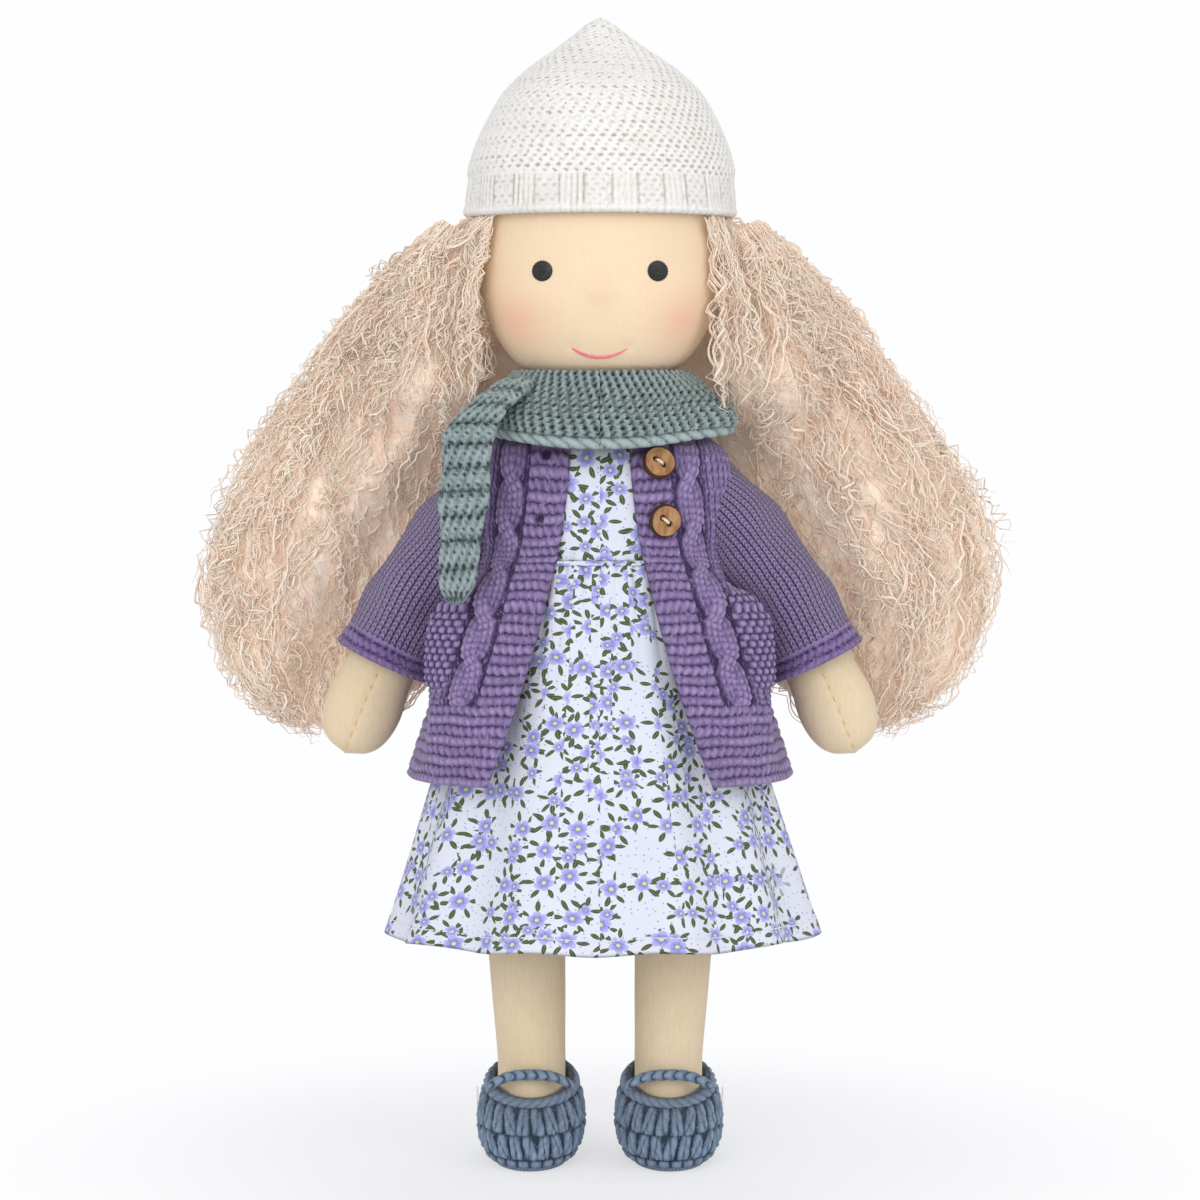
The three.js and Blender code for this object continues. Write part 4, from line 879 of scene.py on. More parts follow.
def printed_cotton():
    # Two sizes of five-petalled flowers among leaves, and fine dots, scattered over the flat cloth.
    finish = Finish("flower_cotton", Roughness=0.75, Sheen_Weight=0.12, Specular_IOR_Level=0.25)
    flat = finish.flat()
    wander = finish.node("ShaderNodeTexNoise", {"noise_dimensions": "2D"}, {"Vector": flat, "Scale": 90.0}, 1)
    shift = finish.stretched(wander, 0.002, 0.002, 0)
    flat = finish.node("ShaderNodeVectorMath", {"operation": "ADD"}, {0: flat, 1: shift})

    def cells(pitch, loose, offset):
        # Round the nearest of many loosely scattered points: distance, direction and two chances.
        add = {"operation": "ADD"}
        moved = finish.node("ShaderNodeVectorMath", add, {0: flat, 1: (offset, offset * 0.7, 0)})
        kind = {"voronoi_dimensions": "2D", "feature": "F1"}
        values = {"Vector": moved, "Scale": 1 / pitch, "Randomness": loose}
        near = finish.node("ShaderNodeTexVoronoi", kind, values, "Position")
        tint = Thread(finish, near.outlet.node.outputs["Color"])
        away = finish.node("ShaderNodeVectorMath", {"operation": "SUBTRACT"}, {0: moved, 1: near})
        x = finish.split(away, "X") / MM
        y = finish.split(away, "Y") / MM
        chance = finish.split(tint, "X")
        radius = (x * x + y * y) ** 0.5
        turn = finish.sum("ARCTAN2", y, x) + chance * 6.28
        return radius, turn, chance, finish.split(tint, "Y")

    def flower(colour, radius, turn, size, there):
        lobes = finish.one("ABSOLUTE", finish.one("COSINE", turn * 2.5))
        edge = lobes ** 0.6 * (size * 0.42) + size * 0.6
        petal = finish.step(radius - edge, 0.22, -0.12) * there
        near_edge = finish.step(radius / size, 0.35, 0.95)
        vein = finish.step(lobes, 0.35, 0.0) * finish.step(radius / size, 0.95, 0.3)
        tone = finish.mix(petal_blue, petal_pale, near_edge * 0.75)
        tone = finish.mix(tone, petal_deep, vein * 0.8)
        tone = finish.mix(tone, petal_deep, finish.step(radius, size * 0.42, size * 0.2) * 0.7)
        colour = finish.mix(colour, tone, petal)
        return finish.mix(colour, stamen_yellow, finish.step(radius, size * 0.27, size * 0.19) * there)

    def leaves(colour, radius, turn, count, reach, length, width, there):
        part = finish.one("FRACT", turn * (count / 6.2832)) - 0.5
        swing = part * (6.2832 / count)
        along = radius * finish.one("COSINE", swing) - reach
        across = finish.one("ABSOLUTE", radius * finish.one("SINE", swing))
        fat = finish.sum("MAXIMUM", 1 - (along / length) ** 2, 0.0) ** 0.8 * width
        leaf = finish.step(across - fat, 0.14, -0.08) * finish.step(fat, 0.02, 0.1) * there
        midrib = finish.step(across, 0.16, 0.04)
        return finish.mix(colour, finish.mix(leaf_green, leaf_pale, midrib * 0.6), leaf)

    weave = finish.noise(1700, 1, finish.stretched(finish.flat(), 1, 0.3, 1))
    colour = finish.mix(cotton_white, cotton_shade, finish.step(finish.noise(30, 2), 0.5, 0.8) * 0.25)
    dot, _, spread, _ = cells(dot_pitch, 0.75, 0.03)
    dotted = finish.step(dot, 0.34, 0.2) * finish.step(spread, 0.35, 0.4)
    colour = finish.mix(colour, petal_blue, dotted * 0.8)
    large_radius, large_turn, _, large_chance = cells(large_pitch, 0.7, 0.0)
    small_radius, small_turn, _, small_chance = cells(small_pitch, 0.9, 0.011)
    large_there = finish.step(large_chance, 0.12, 0.13)
    small_there = finish.step(small_chance, 0.42, 0.43)
    colour = leaves(colour, small_radius, small_turn, 5, 3.3, 1.8, 0.62, small_there)
    colour = leaves(colour, large_radius, large_turn, 6, 4.5, 1.9, 0.68, large_there)
    colour = flower(colour, small_radius, small_turn, 1.9, small_there)
    colour = flower(colour, large_radius, large_turn, 2.8, large_there)
    finish.set("Base Color", colour)
    finish.bump(weave, 0.0001, 0.35)
    return finish


cotton = printed_cotton()


def ring_along(along, outside_share):
    # Up the outer face and back down the inner one: a share from 0 to 1, and 1 where it is inside.
    rise = np.where(along < outside_share, along / outside_share, (1 - along) / (1 - outside_share))
    inside = smooth_step(along, outside_share, outside_share + 0.02) * smooth_step(1 - along, 0, 0.02)
    return np.clip(rise, 0, 1), inside


def bodice_rule(across, along):
    turn = across * 2 * np.pi - np.pi / 2
    rise, inside = ring_along(along, bodice_outside)
    height = between(waist, bodice_top, rise)
    gather = 0.35 * np.cos(turn * 46) * np.exp(-((height - waist) / 3.5) ** 2)
    crease = 0.3 * np.cos(turn * 7 + 1.2) * np.cos(height * 0.22 + turn * 2)
    return body_place(turn, height, 1.7 + gather + crease * 0.6 - inside * lawn_thickness)


def bodice_flat(across, along, face_across):
    rise, _ = ring_along(along, bodice_outside)
    return np.stack([across * bodice_girth, 160 + (bodice_top - waist) * rise], axis=-1)


def skirt_rule(across, along):
    # Small pleats at the waist run out into wide soft folds; the hem is turned up and stitched.
    turn = across * 2 * np.pi - np.pi / 2
    rise, inside = ring_along(along, skirt_outside)
    height = between(hem, waist, rise)
    fall = 1 - rise
    flare = fall ** 1.15
    folds = 2.4 * np.cos(10 * turn) + 1.4 * np.cos(7 * turn + 0.8) + 1.1 * np.cos(13 * turn + 2.1)
    soft = folds * fall ** 0.9
    slant = turn + 0.06 * fall * np.sin(3 * turn)
    pleats = np.abs(np.sin(slant * gathers)) ** 0.7 - 0.6
    pinch = pleats * (1.25 * np.exp(-(fall / 0.13) ** 1.5) + 0.5 * np.exp(-(fall / 0.38) ** 2))
    by_stitches = np.exp(-(((height - hem - hem_turning) / 0.5) ** 2))
    stitched = -0.22 * by_stitches * (0.6 + 0.4 * np.cos(turn * hem_stitches))
    turned_up = 0.28 * smooth_step(height, hem + hem_turning + 0.6, hem + hem_turning - 0.4)
    wave = 0.5 * fall * np.cos(5 * turn + 4 * rise)
    lift = 1.0 + soft + pinch + stitched + turned_up + wave - lawn_thickness * inside
    width = between(waist_half_width, hem_half_width, flare) + lift
    deep = between(waist_half_depth, hem_half_depth, flare) + lift
    drop = 0.8 * np.cos(10 * turn) * fall ** 3
    return stack(width * np.cos(turn), deep * np.sin(turn), height + drop)


def skirt_flat(across, along, face_across):
    # The print keeps its size from hem to waist, so each of forty narrow gores is laid out by itself.
    rise, _ = ring_along(along, skirt_outside)
    fall = 1 - rise
    gore = np.round(face_across * gathers * 2) / (gathers * 2)
    radius = 31 + 30 * fall ** 1.15
    return np.stack([gore * skirt_girth + (across - gore) * 2 * np.pi * radius, 135 * rise], axis=-1)


bodice = woven_piece("dress_bodice", 220, 60, bodice_rule, cotton, flat=bodice_flat)
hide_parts("dress_bodice")
skirt = woven_piece("dress_skirt", 440, 110, skirt_rule, cotton, flat=skirt_flat)
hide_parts("dress_skirt")


def seam_rule(across, along):
    # The waist seam: a narrow piping where bodice and skirt are sewn together.
    turn = along * 2 * np.pi
    ring = across * 2 * np.pi
    thick = 0.8 + 0.1 * np.cos(turn * 80)
    place = body_place(turn, np.full_like(turn, waist - 0.6), 2.9)
    out = stack(np.cos(turn), np.sin(turn), 0 * turn)
    return place + out * (thick * np.cos(ring))[:, None] + stack(0, 0, 0.9 * np.sin(ring))


def seam_flat(across, along, face_across):
    return np.stack([along * bodice_girth, 158 + across * 4], axis=-1)


seam = woven_piece("waist_seam", 8, 640, seam_rule, cotton, flat=seam_flat)


def hem_stitch_rule(across, along):
    # One line of machine stitches just above the hem, following the folds.
    ring = across * 2 * np.pi
    stitch = np.clip(np.cos(along * 2 * np.pi * hem_stitches) * 1.6 + 0.9, 0, 1) ** 0.5
    share = np.full_like(along, skirt_outside * hem_turning / (waist - hem))
    place = skirt_rule(along, share)
    out = unit(stack(place[:, 0], place[:, 1], 0))
    thick = 0.05 + 0.2 * stitch
    return place + out * (thick * np.cos(ring) + 0.1 * stitch)[:, None] + stack(0, 0, thick * np.sin(ring))


white_thread = plain_thread("white_thread", 0.6, dye(222, 222, 236), dye(240, 240, 248), 800)
hem_stitch = woven_piece("hem_stitch", 5, 2520, hem_stitch_rule, white_thread)
for piece in (bodice, seam):
    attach(piece, "torso")
for piece in (skirt, hem_stitch):
    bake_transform(piece)

# THE CARDIGAN
# Knitted in purple wool: each front has a ridged garter band along its edge, a rope cable beside it
# and plain stocking stitch to the armhole, with a ridged hem. A seed-stitch pocket is sewn on each.
cardigan_top = 237.5
cardigan_hem = 127
cardigan_flare_top = 184
cardigan_hem_half_width = 62
cardigan_half_depth = 30
cardigan_hem_half_depth = 46.5
cardigan_slack = 2.2
chest_height = 215
fullness_top = 201
fullness_reach = 21
front_fullness = 19
neck_edge_reach = 9.5
hem_edge_spread = 27
side_seam_turn = 0.3 / 40.2
knit_wall = 2.0
knit_inside = 0.05
column_width = 2.7
row_height = 2.15
ridge_height = 3.4
purl_bump = 2.7
seed_width = 3.0
seed_height = 2.3
hem_knit_height = 27.5
band_width = 13.0
cable_middle = 18.8
cable_half = 4.8
cable_crossing = 15.0
cable_foot = 27
cloth_per_height = 1.03
pocket_top = 190
pocket_foot = 158.5
pocket_width = 19.0
pocket_puff_height = 31
pocket_from_edge = 23.0
button_from_edge = 7.6
button_levels = {"upper": 229.5, "lower": 214.5}
hole_half_width = 1.5
hole_half_height = 1.1
buttonholes = ((button_from_edge, 232.0), (7.8, 214.5))
sleeve_length = 122.0
sleeve_shown = 0.8
sleeve_girth = 97
sleeve_outside = 0.86
sleeve_start = -0.06
sleeve_end = 0.74
sleeve_wall = 2.0
sleeve_inner_reach = 36.0
sleeve_columns = 46
sleeve_column_width = 2.3
sleeve_row_height = 2.0
cuff_width = 8.5
wool_purple = dye(136, 117, 162)
# The dark and pale purples are the painted shade in the hollows and the painted highlight on the crowns; they
# also tint the fibres.
wool_shade_and_dark_fibres = dye(56, 42, 78)
wool_highlight_and_pale_fibres = dye(180, 162, 200)
# The sleeves' colours are a darker copy of the body's: painted shade, as the sleeves hang in shadow.
sleeve_purple_shaded = dye(126, 105, 155)
sleeve_shade_and_dark_fibres = dye(46, 32, 66)
sleeve_highlight_and_pale_fibres = dye(164, 145, 190)
sleeve_gap_shade = dye(34, 22, 52)
wool = yarn("cardigan_wool", wool_purple, wool_shade_and_dark_fibres, wool_highlight_and_pale_fibres, fuzz=0.35, ply=1000)


def squared(value):
    # Makes an oval a little squarer, for a front and back that lie flat.
    return np.sign(value) * np.abs(value) ** 0.8


def cardigan_place(turn, height, lift):
    # Close to the body at the chest, and hanging free in a widening bell below it.
    fall = np.maximum((cardigan_flare_top - height) / (cardigan_flare_top - cardigan_hem), 0)
    flare = fall ** 0.8
    width = between(shoulder_half_width + cardigan_slack, cardigan_hem_half_width, flare) + lift
    depth = between(cardigan_half_depth, cardigan_hem_half_depth, flare) + lift
    stands = smooth_step(fullness_top - height, 0, fullness_reach)
    ahead = smooth_step(np.sin(-turn), 0.34, 0.6) * np.sqrt(np.abs(np.cos(turn)))
    bulge = front_fullness * stands * (1 - fall) * ahead * np.sign(np.cos(turn))
    loose = stack(width * squared(np.cos(turn)) + bulge, depth * squared(np.sin(turn)), height)
    close = body_place(turn, height, cardigan_slack + lift)
    chest = smooth_step(height, cardigan_flare_top, chest_height)
    above = (height > cardigan_flare_top)[..., None]
    mixed = between(loose, close, chest[..., None])
    mixed[..., 2] = close[..., 2]
    return np.where(above, mixed, loose)


def front_edge_turn(height, from_edge):
    # Where round the body the place lies that is this far from the front edge, found by halving.
    fall = np.maximum((cardigan_top - height) / (cardigan_top - cardigan_hem), 0) ** 1.6
    reach = neck_edge_reach + hem_edge_spread * fall + from_edge
    ahead = np.full_like(height, -np.pi / 2)
    beside = np.full_like(height, -math.radians(35))
    for _ in range(24):
        turn = (ahead + beside) / 2
        short = cardigan_place(turn, height, 0 * height)[..., 0] < reach
        ahead = np.where(short, turn, ahead)
        beside = np.where(short, beside, turn)
    return (ahead + beside) / 2


def spread_table(start_turn, end_turn, levels=90, shares=80):
    # For each height, the turn at equal lengths of cloth from the start, and the whole length.
    heights = np.linspace(cardigan_hem, cardigan_top, levels)
    turns = np.empty((levels, shares))
    widths = np.empty(levels)
    for i, height in enumerate(heights):
        level = np.array([height])
        dense = np.linspace(start_turn(level)[0], end_turn, 240)
        run = cardigan_place(dense, np.full(240, height), np.full(240, knit_wall))
        steps = np.linalg.norm(np.diff(run, axis=0), axis=1)
        length = np.concatenate([[0], np.cumsum(steps)])
        widths[i] = length[-1]
        turns[i] = np.interp(np.linspace(0, length[-1], shares), length, dense)

    def look(share, height):
        y = np.clip((height - cardigan_hem) / (cardigan_top - cardigan_hem), 0, 1) * (levels - 1)
        x = np.clip(share, 0, 1) * (shares - 1)
        i = np.minimum(y.astype(int), levels - 2)
        j = np.minimum(x.astype(int), shares - 2)
        fy = y - i
        fx = x - j
        low = turns[i, j] * (1 - fx) + turns[i, j + 1] * fx
        high = turns[i + 1, j] * (1 - fx) + turns[i + 1, j + 1] * fx
        return low * (1 - fy) + high * fy, widths[i] * (1 - fy) + widths[i + 1] * fy

    return look


def uneven(s, t):
    # Hand knitting wanders a little: each stitch lies slightly off its place. In all the knitting, "s"
    # is the way across the cloth and "t" the way up it, in millimetres.
    along_row = s + 0.22 * np.sin(t * 0.55 + s * 0.21) + 0.12 * np.sin(t * 1.9)
    return along_row, t + 0.25 * np.sin(s * 0.4 + t * 0.13)


def stocking(s, t):
    # Columns of V stitches: two slanting strands that meet at the bottom of each V.
    s, t = uneven(s, t)
    place = s / column_width
    column = place - np.floor(place)
    strands = np.abs(np.sin(column * np.pi)) ** 0.8 * (1 - 0.45 * np.exp(-(((column - 0.5) / 0.1) ** 2)))
    up = t / row_height - 1.5 * np.abs(column - 0.5)
    stitch = up - np.floor(up)
    bead = np.sin(stitch * np.pi) ** 0.6
    own = 0.9 + 0.1 * np.sin(np.floor(place) * 12.9 + np.floor(up) * 78.2)
    return np.clip(1.15 * strands * (0.3 + 0.7 * bead) * own, 0, 1)


def garter(s, t):
    # Ridges of purl bumps, each row set half a bump along from the last.
    s, t = uneven(s, t)
    level = t / ridge_height + 0.06 * np.sin(s * 2 * np.pi / purl_bump)
    row = np.floor(level)
    up = level - row
    ridge = np.sin(up * np.pi) ** 0.6
    bump = s / purl_bump + 0.5 * row
    beads = 0.5 + 0.5 * np.cos(bump * 2 * np.pi + 1.6 * np.cos(up * np.pi))
    own = 0.88 + 0.12 * np.sin(np.floor(bump) * 12.9 + row * 78.2)
    return ridge * (0.62 + 0.38 * beads ** 0.8) * own


def seed_stitch(s, t):
    # Single purl bumps set like the fields of a chessboard.
    row = np.floor(t / seed_height)
    up = t / seed_height - row
    beads = 0.5 + 0.5 * np.cos((s / seed_width + 0.5 * row) * 2 * np.pi)
    return (np.sin(up * np.pi) ** 0.6) * (0.15 + 0.85 * beads ** 0.8)


def rope(x, t):
    # Two strands wound round each other, each covered with slanting stitches.
    phase = t / cable_crossing * np.pi
    half_strand = cable_half * 0.6
    best = np.zeros_like(x)
    for sign in (1, -1):
        middle = sign * cable_half * 0.48 * np.tanh(1.8 * np.sin(phase)) / np.tanh(1.8)
        near = sign * np.cos(phase)
        body = np.clip(1 - ((x - middle) / half_strand) ** 4, 0, 1) ** 0.5
        column = (x - middle) / half_strand * 1.5
        off_column = column - np.round(column)
        stitch_row = t / 2.3 + near * (x - middle) * 0.2 - 0.62 * np.abs(off_column)
        stitch = np.abs(np.sin(stitch_row * np.pi)) ** 0.6
        groove = np.abs(np.cos(off_column * np.pi)) ** 0.7
        height = body * (0.8 + 0.2 * near) * (0.38 + 0.62 * stitch * groove)
        best = np.maximum(best, height)
    return best


def front_relief(s, t, width):
    # Height of the knitting above its ground, in millimetres, and how far out of the hollows it is.
    hem_knit = smooth_step(hem_knit_height - t, 0, 0.8)
    band = smooth_step(band_width - s, 0, 0.7)
    cable_end = cable_middle + cable_half
    groove = np.exp(-(((s - band_width - 0.5) / 0.8) ** 2)) + np.exp(-(((s - cable_end - 0.8) / 0.9) ** 2))
    groove = np.clip(groove, 0, 1)
    in_cable = (np.abs(s - cable_middle) < cable_half).astype(float)
    plain = stocking(s - cable_end, t)
    cable = rope(np.clip(s - cable_middle, -cable_half, cable_half), t - cable_foot)
    body = between(plain * 1.3, cable * 2.3, in_cable) * (1 - 0.7 * groove)
    body_clear = between(plain, np.clip(cable * 1.15, 0, 1), in_cable) * (1 - 0.8 * groove)
    ridged = garter(s, t)
    share = np.clip(hem_knit + band, 0, 1)
    return between(body, ridged * 1.15, share), between(body_clear, ridged, share)


def rounded(distance, reach=1.4):
    # From 0 at an edge to 1 a little way in, as the rim of a thick cloth rounds off.
    share = np.clip(distance / reach, 0, 1)
    return np.sqrt(1 - (1 - share) ** 2)


def panel_rule(look, relief, top, foot, lift=0.0, wall=knit_wall, outside=0.93, holes=()):
    # One knitted panel: across its outer face and back over the inner one, from its foot to its top.
    def rule(across, along):
        shown = across < outside
        share = np.where(shown, across / outside, (1 - across) / (1 - outside))
        height = between(foot, top, along)
        turn, width = look(share, height)
        s = share * width
        t = (height - foot) * cloth_per_height
        high, clear = relief(s, t, width)
        for hole_s, hole_z in holes:
            beside = (s - hole_s) / hole_half_width
            above = (height - hole_z) / hole_half_height
            pit = np.exp(-(beside ** 4) - above ** 4)
            high = high - (knit_wall + 0.2) * pit
            clear = clear * (1 - pit)
        edge = rounded(s) * rounded(width - s, 0.8) * rounded(height - foot) * rounded(top - height)
        thick = np.where(shown, (wall + high) * edge, knit_inside)
        # The inner face gets a low depth: painted shade on the panel's inside.
        return cardigan_place(turn, height, lift + thick), np.where(shown, clear, 0.2)
    return rule


def front_edge(height):
    return front_edge_turn(height, 0 * height)


def side_seam(height):
    return np.full_like(height, side_seam_turn)


front_look = spread_table(front_edge, -side_seam_turn)
back_look = spread_table(side_seam, np.pi - side_seam_turn)


def back_relief(s, t, width):
    hem_knit = smooth_step(hem_knit_height - t, 0, 0.8)
    plain = stocking(s - width / 2, t)
    ridged = garter(s - width / 2, t)
    return between(plain * 1.15, ridged * 1.15, hem_knit), between(plain, ridged, hem_knit)


def pocket_look(share, height):
    start = front_edge_turn(height, np.full_like(height, pocket_from_edge))
    end = -math.radians(26)
    return between(start, end, share), np.full_like(height, pocket_width)


def pocket_relief(s, t, width):
    # Seed stitch over a pocket that stands off a little in its middle.
    sideways = np.clip(np.sin(np.clip(s / width, 0, 1) * np.pi), 0, 1) ** 0.5
    upwards = np.clip(np.sin(np.clip(t / pocket_puff_height, 0, 1) * np.pi), 0, 1) ** 0.4
    knit = seed_stitch(s, t)
    return knit * 0.9 + 1.1 * (sideways * upwards), knit


back_rule = panel_rule(back_look, back_relief, cardigan_top, cardigan_hem)
back = woven_piece("cardigan_back", 270, 210, back_rule, wool)
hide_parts("cardigan_back")
knitted = [back]
sleeve_radius = smooth_table([0, 0.2, 0.4, 0.56, 0.66, sleeve_end], [14.6, 15.5, 15.6, 16.0, 15.8, 17.0])


def v_stitches(finish, gap_shade, width, row):
    # Stocking stitch too fine to shape: painted shade in the gaps between columns of V stitches, on the
    # piece's flat map. The cuff's ridges are shaped, so the V stitches end at it.
    flat = finish.flat()
    wander = finish.noise(140, 1, finish.place()) * 0.35
    across = finish.split(flat, "X") / (width * MM) + wander
    part = finish.one("ABSOLUTE", finish.one("FRACT", across) - 0.5)
    up = finish.split(flat, "Y") / (row * MM) - part * 1.5 + wander
    bead = finish.one("ABSOLUTE", finish.one("FRACT", up) - 0.5)
    side = finish.step(part, 0.5, 0.28) * finish.step(part, -0.02, 0.08, 0.86, 1.0)
    high = side * finish.step(bead, 0.5, 0.2, 0.3, 1.0)
    cuff = (sleeve_length * sleeve_shown - cuff_width) * MM
    on_cuff = finish.step(finish.split(flat, "Y"), cuff - 0.6 * MM, cuff + 0.1 * MM)
    high = high + (1 - high) * on_cuff
    base = finish.shader.inputs["Base Color"].links[0].from_socket
    # Painted shade: the gap colour fills the hollows between the columns.
    finish.set("Base Color", finish.mix(gap_shade, Thread(finish, base), finish.step(high, 0.0, 0.75)))
    hairs = finish.noise(1200, 3, finish.stretched(finish.place(), 1, 1, 0.35), 0.65)
    finish.bump(high + hairs * 0.35, 0.0009, 0.9)


shaded_sleeve_wool = yarn("shaded_sleeve_yarn", sleeve_purple_shaded, sleeve_shade_and_dark_fibres, sleeve_highlight_and_pale_fibres, fuzz=0.35)
v_stitches(shaded_sleeve_wool, sleeve_gap_shade, sleeve_column_width, sleeve_row_height)


def sleeve_rule(across, along):
    # A tube along the arm, from inside the armhole to the cuff, with soft creases.
    turn = across * 2 * np.pi
    rise, inside = ring_along(along, sleeve_outside)
    share = between(sleeve_start, sleeve_end, rise)
    down = rise * sleeve_length * sleeve_shown
    to_cuff = sleeve_length * sleeve_shown - down
    cuff = smooth_step(cuff_width - to_cuff, 0, 0.8)
    ridged = garter(turn / (2 * np.pi) * sleeve_girth, to_cuff)
    high = between(0.75, ridged * 1.3, cuff)
    clear = between(1.0, ridged, cuff)
    crease = 1.2 * np.cos(down * 0.16 + 1.3 * np.sin(turn)) * np.sin(turn * 2 + 0.6)
    crease = crease * smooth_step(to_cuff, 4, 25)
    edge = rounded(to_cuff, 1.6)
    relief = (high + crease) * edge * (1 - inside)
    radius = sleeve_radius(share) - 0.6 + relief - sleeve_wall * inside - (1 - edge) * 1.3
    radius = radius * (1 - 0.35 * smooth_step(-share, 0, 0.06))
    place = beside_line(arm_points, share, radius * np.cos(turn), radius * np.sin(turn))
    heading = arm_points[1] - arm_points[0]
    place = place + 2 * np.minimum(share, 0)[:, None] * heading
    place[..., 0] = np.maximum(place[..., 0], sleeve_inner_reach)
    # The inner face gets a low depth: painted shade inside the sleeve.
    return place, np.where(inside > 0.5, 0.2, clear)


def sleeve_flat(across, along, face_across):
    rise, _ = ring_along(along, sleeve_outside)
    girth = sleeve_columns * sleeve_column_width
    return np.stack([across * girth, rise * sleeve_length * sleeve_shown], axis=-1)


for name, side in sides:
    holes = buttonholes if name == "right" else ()
    rule = panel_rule(front_look, front_relief, cardigan_top, cardigan_hem, holes=holes)
    front = woven_piece("cardigan_front_" + name, 150, 250, mirrored(rule, side), wool)
    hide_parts("cardigan_front_" + name)
    rule = panel_rule(pocket_look, pocket_relief, pocket_top, pocket_foot,
                      lift=knit_wall + 0.7, wall=0.8, outside=0.9)
    pocket = woven_piece("pocket_" + name, 56, 76, mirrored(rule, side), wool)
    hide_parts("pocket_" + name)
    rule = mirrored(sleeve_rule, side)
    sleeve = woven_piece("sleeve_" + name, 256, 130, rule, shaded_sleeve_wool, flat=sleeve_flat)
    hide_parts("sleeve_" + name)
    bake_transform(sleeve)
    knitted += [front, pocket]
for piece in knitted:
    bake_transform(piece)

# THE BUTTONS
# Slices of a thin branch, sanded round: pale wood with fine rings and a burnt dark rim. Each has two
# holes, set aslant, and is sewn to the left band with a bar of cream thread.
button_radius = 5.6
button_thickness = 2.4
button_edge = 0.5
button_lift = 1.0
hole_radius = 1.15
hole_depth = 1.7
button_holes = ((-1.25, 1.0), (1.25, -1.0))
wood_pale = dye(186, 142, 98)
wood_brown = dye(142, 98, 62)
wood_burnt_rim_and_hole_shade = dye(70, 44, 30)
button_wood = Finish("button_wood", Roughness=0.62, Specular_IOR_Level=0.3)
wood_place = button_wood.place()
grain = button_wood.noise(420, 4, button_wood.stretched(wood_place, 1, 1, 0.25))
rim = button_wood.attribute("depth")
wood_tone = button_wood.mix(wood_pale, wood_brown, button_wood.step(grain, 0.35, 0.7))
# The burnt colour marks the real burnt rim, and also fills the two holes as painted shade.
clear_of_rim_and_holes = button_wood.step(rim + (grain - 0.5) * 0.2, 0.05, 0.4)
wood_tone = button_wood.mix(wood_burnt_rim_and_hole_shade, wood_tone, clear_of_rim_and_holes)
button_wood.set("Base Color", wood_tone)
button_wood.bump(grain, 0.00012, 0.6)
cream_thread = plain_thread("button_thread", 0.7, dye(222, 206, 170), dye(242, 232, 206), 900)


def button_seat(height):
    # A place on the left band with the directions there: to the right, up and straight out.
    level = np.array([height], float)
    turn = front_edge_turn(level, np.array([button_from_edge]))
    rise = np.array([2.6])
    face = cardigan_place(turn, level, rise)[0]
    beside = cardigan_place(turn + 0.02, level, rise)[0] - face
    above = cardigan_place(turn, level + 0.6, rise)[0] - face
    out = unit(np.cross(beside, above))
    right = unit(np.cross([0, 0, 1], out))
    return face, right, np.cross(out, right), out


def button_rule(seat):
    face, right, up, out = seat

    def rule(across, along):
        turn = across * 2 * np.pi
        over = np.clip(along / 0.62, 0, 1)
        wall = np.clip((along - 0.62) / 0.13, 0, 1)
        under = np.clip((along - 0.75) / 0.25, 0, 1)
        radius = (button_radius - button_edge) * np.where(along < 0.75, over, 1 - under)
        radius = radius + button_edge * np.sin(wall * np.pi) * (along < 0.75)
        radius = radius * (1 + 0.012 * np.cos(3 * turn) + 0.008 * np.cos(7 * turn + 1))
        rim = smooth_step(over, 0.8, 0.9) * (1 - smooth_step(over, 0.97, 1.0))
        high = button_thickness * (1 - wall) + 0.25 * rim + 0.25 * (1 - over ** 2) * (1 - wall)
        x = radius * np.cos(turn)
        y = radius * np.sin(turn)
        pit = np.zeros_like(x)
        for hole_x, hole_y in button_holes:
            pit = np.maximum(pit, smooth_step(hole_radius - np.hypot(x - hole_x, y - hole_y), 0, 0.35))
        high = high - hole_depth * pit * (along < 0.6)
        # Depth falls to 0 at the rim, which is burnt, and in the holes, where the dark colour is painted
        # shade.
        clear = (1 - smooth_step(over, 0.86, 1.0)) * (1 - pit) * (1 - wall)
        place = face + right * x[:, None] + up * y[:, None] + out * (button_lift + high)[:, None]
        return place, clear
    return rule


def thread_rule(seat):
    # The bar of thread from hole to hole, which dips into both.
    face, right, up, out = seat
    first_x, first_y = button_holes[0]
    to_hole = math.hypot(first_x, first_y)

    def rule(across, along):
        turn = across * 2 * np.pi
        reach = along * 2 - 1
        top = button_lift + button_thickness + 0.35 - 1.9 * np.abs(reach) ** 5
        twist = 0.46 + 0.07 * np.cos(along * 40 + turn * 2)
        out_by = top + twist * np.cos(turn)
        x = first_x * -reach + first_y / to_hole * twist * np.sin(turn)
        y = first_y * -reach - first_x / to_hole * twist * np.sin(turn)
        return face + right * x[:, None] + up * y[:, None] + out * out_by[:, None]
    return rule


for name, height in button_levels.items():
    seat = button_seat(height)
    button = woven_piece("button_" + name, 96, 70, button_rule(seat), button_wood)
    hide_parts("button_" + name)
    thread = woven_piece("button_thread_" + name, 10, 40, thread_rule(seat), cream_thread)
    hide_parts("button_thread_" + name)
    for piece in (button, thread):
        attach(piece, "torso")

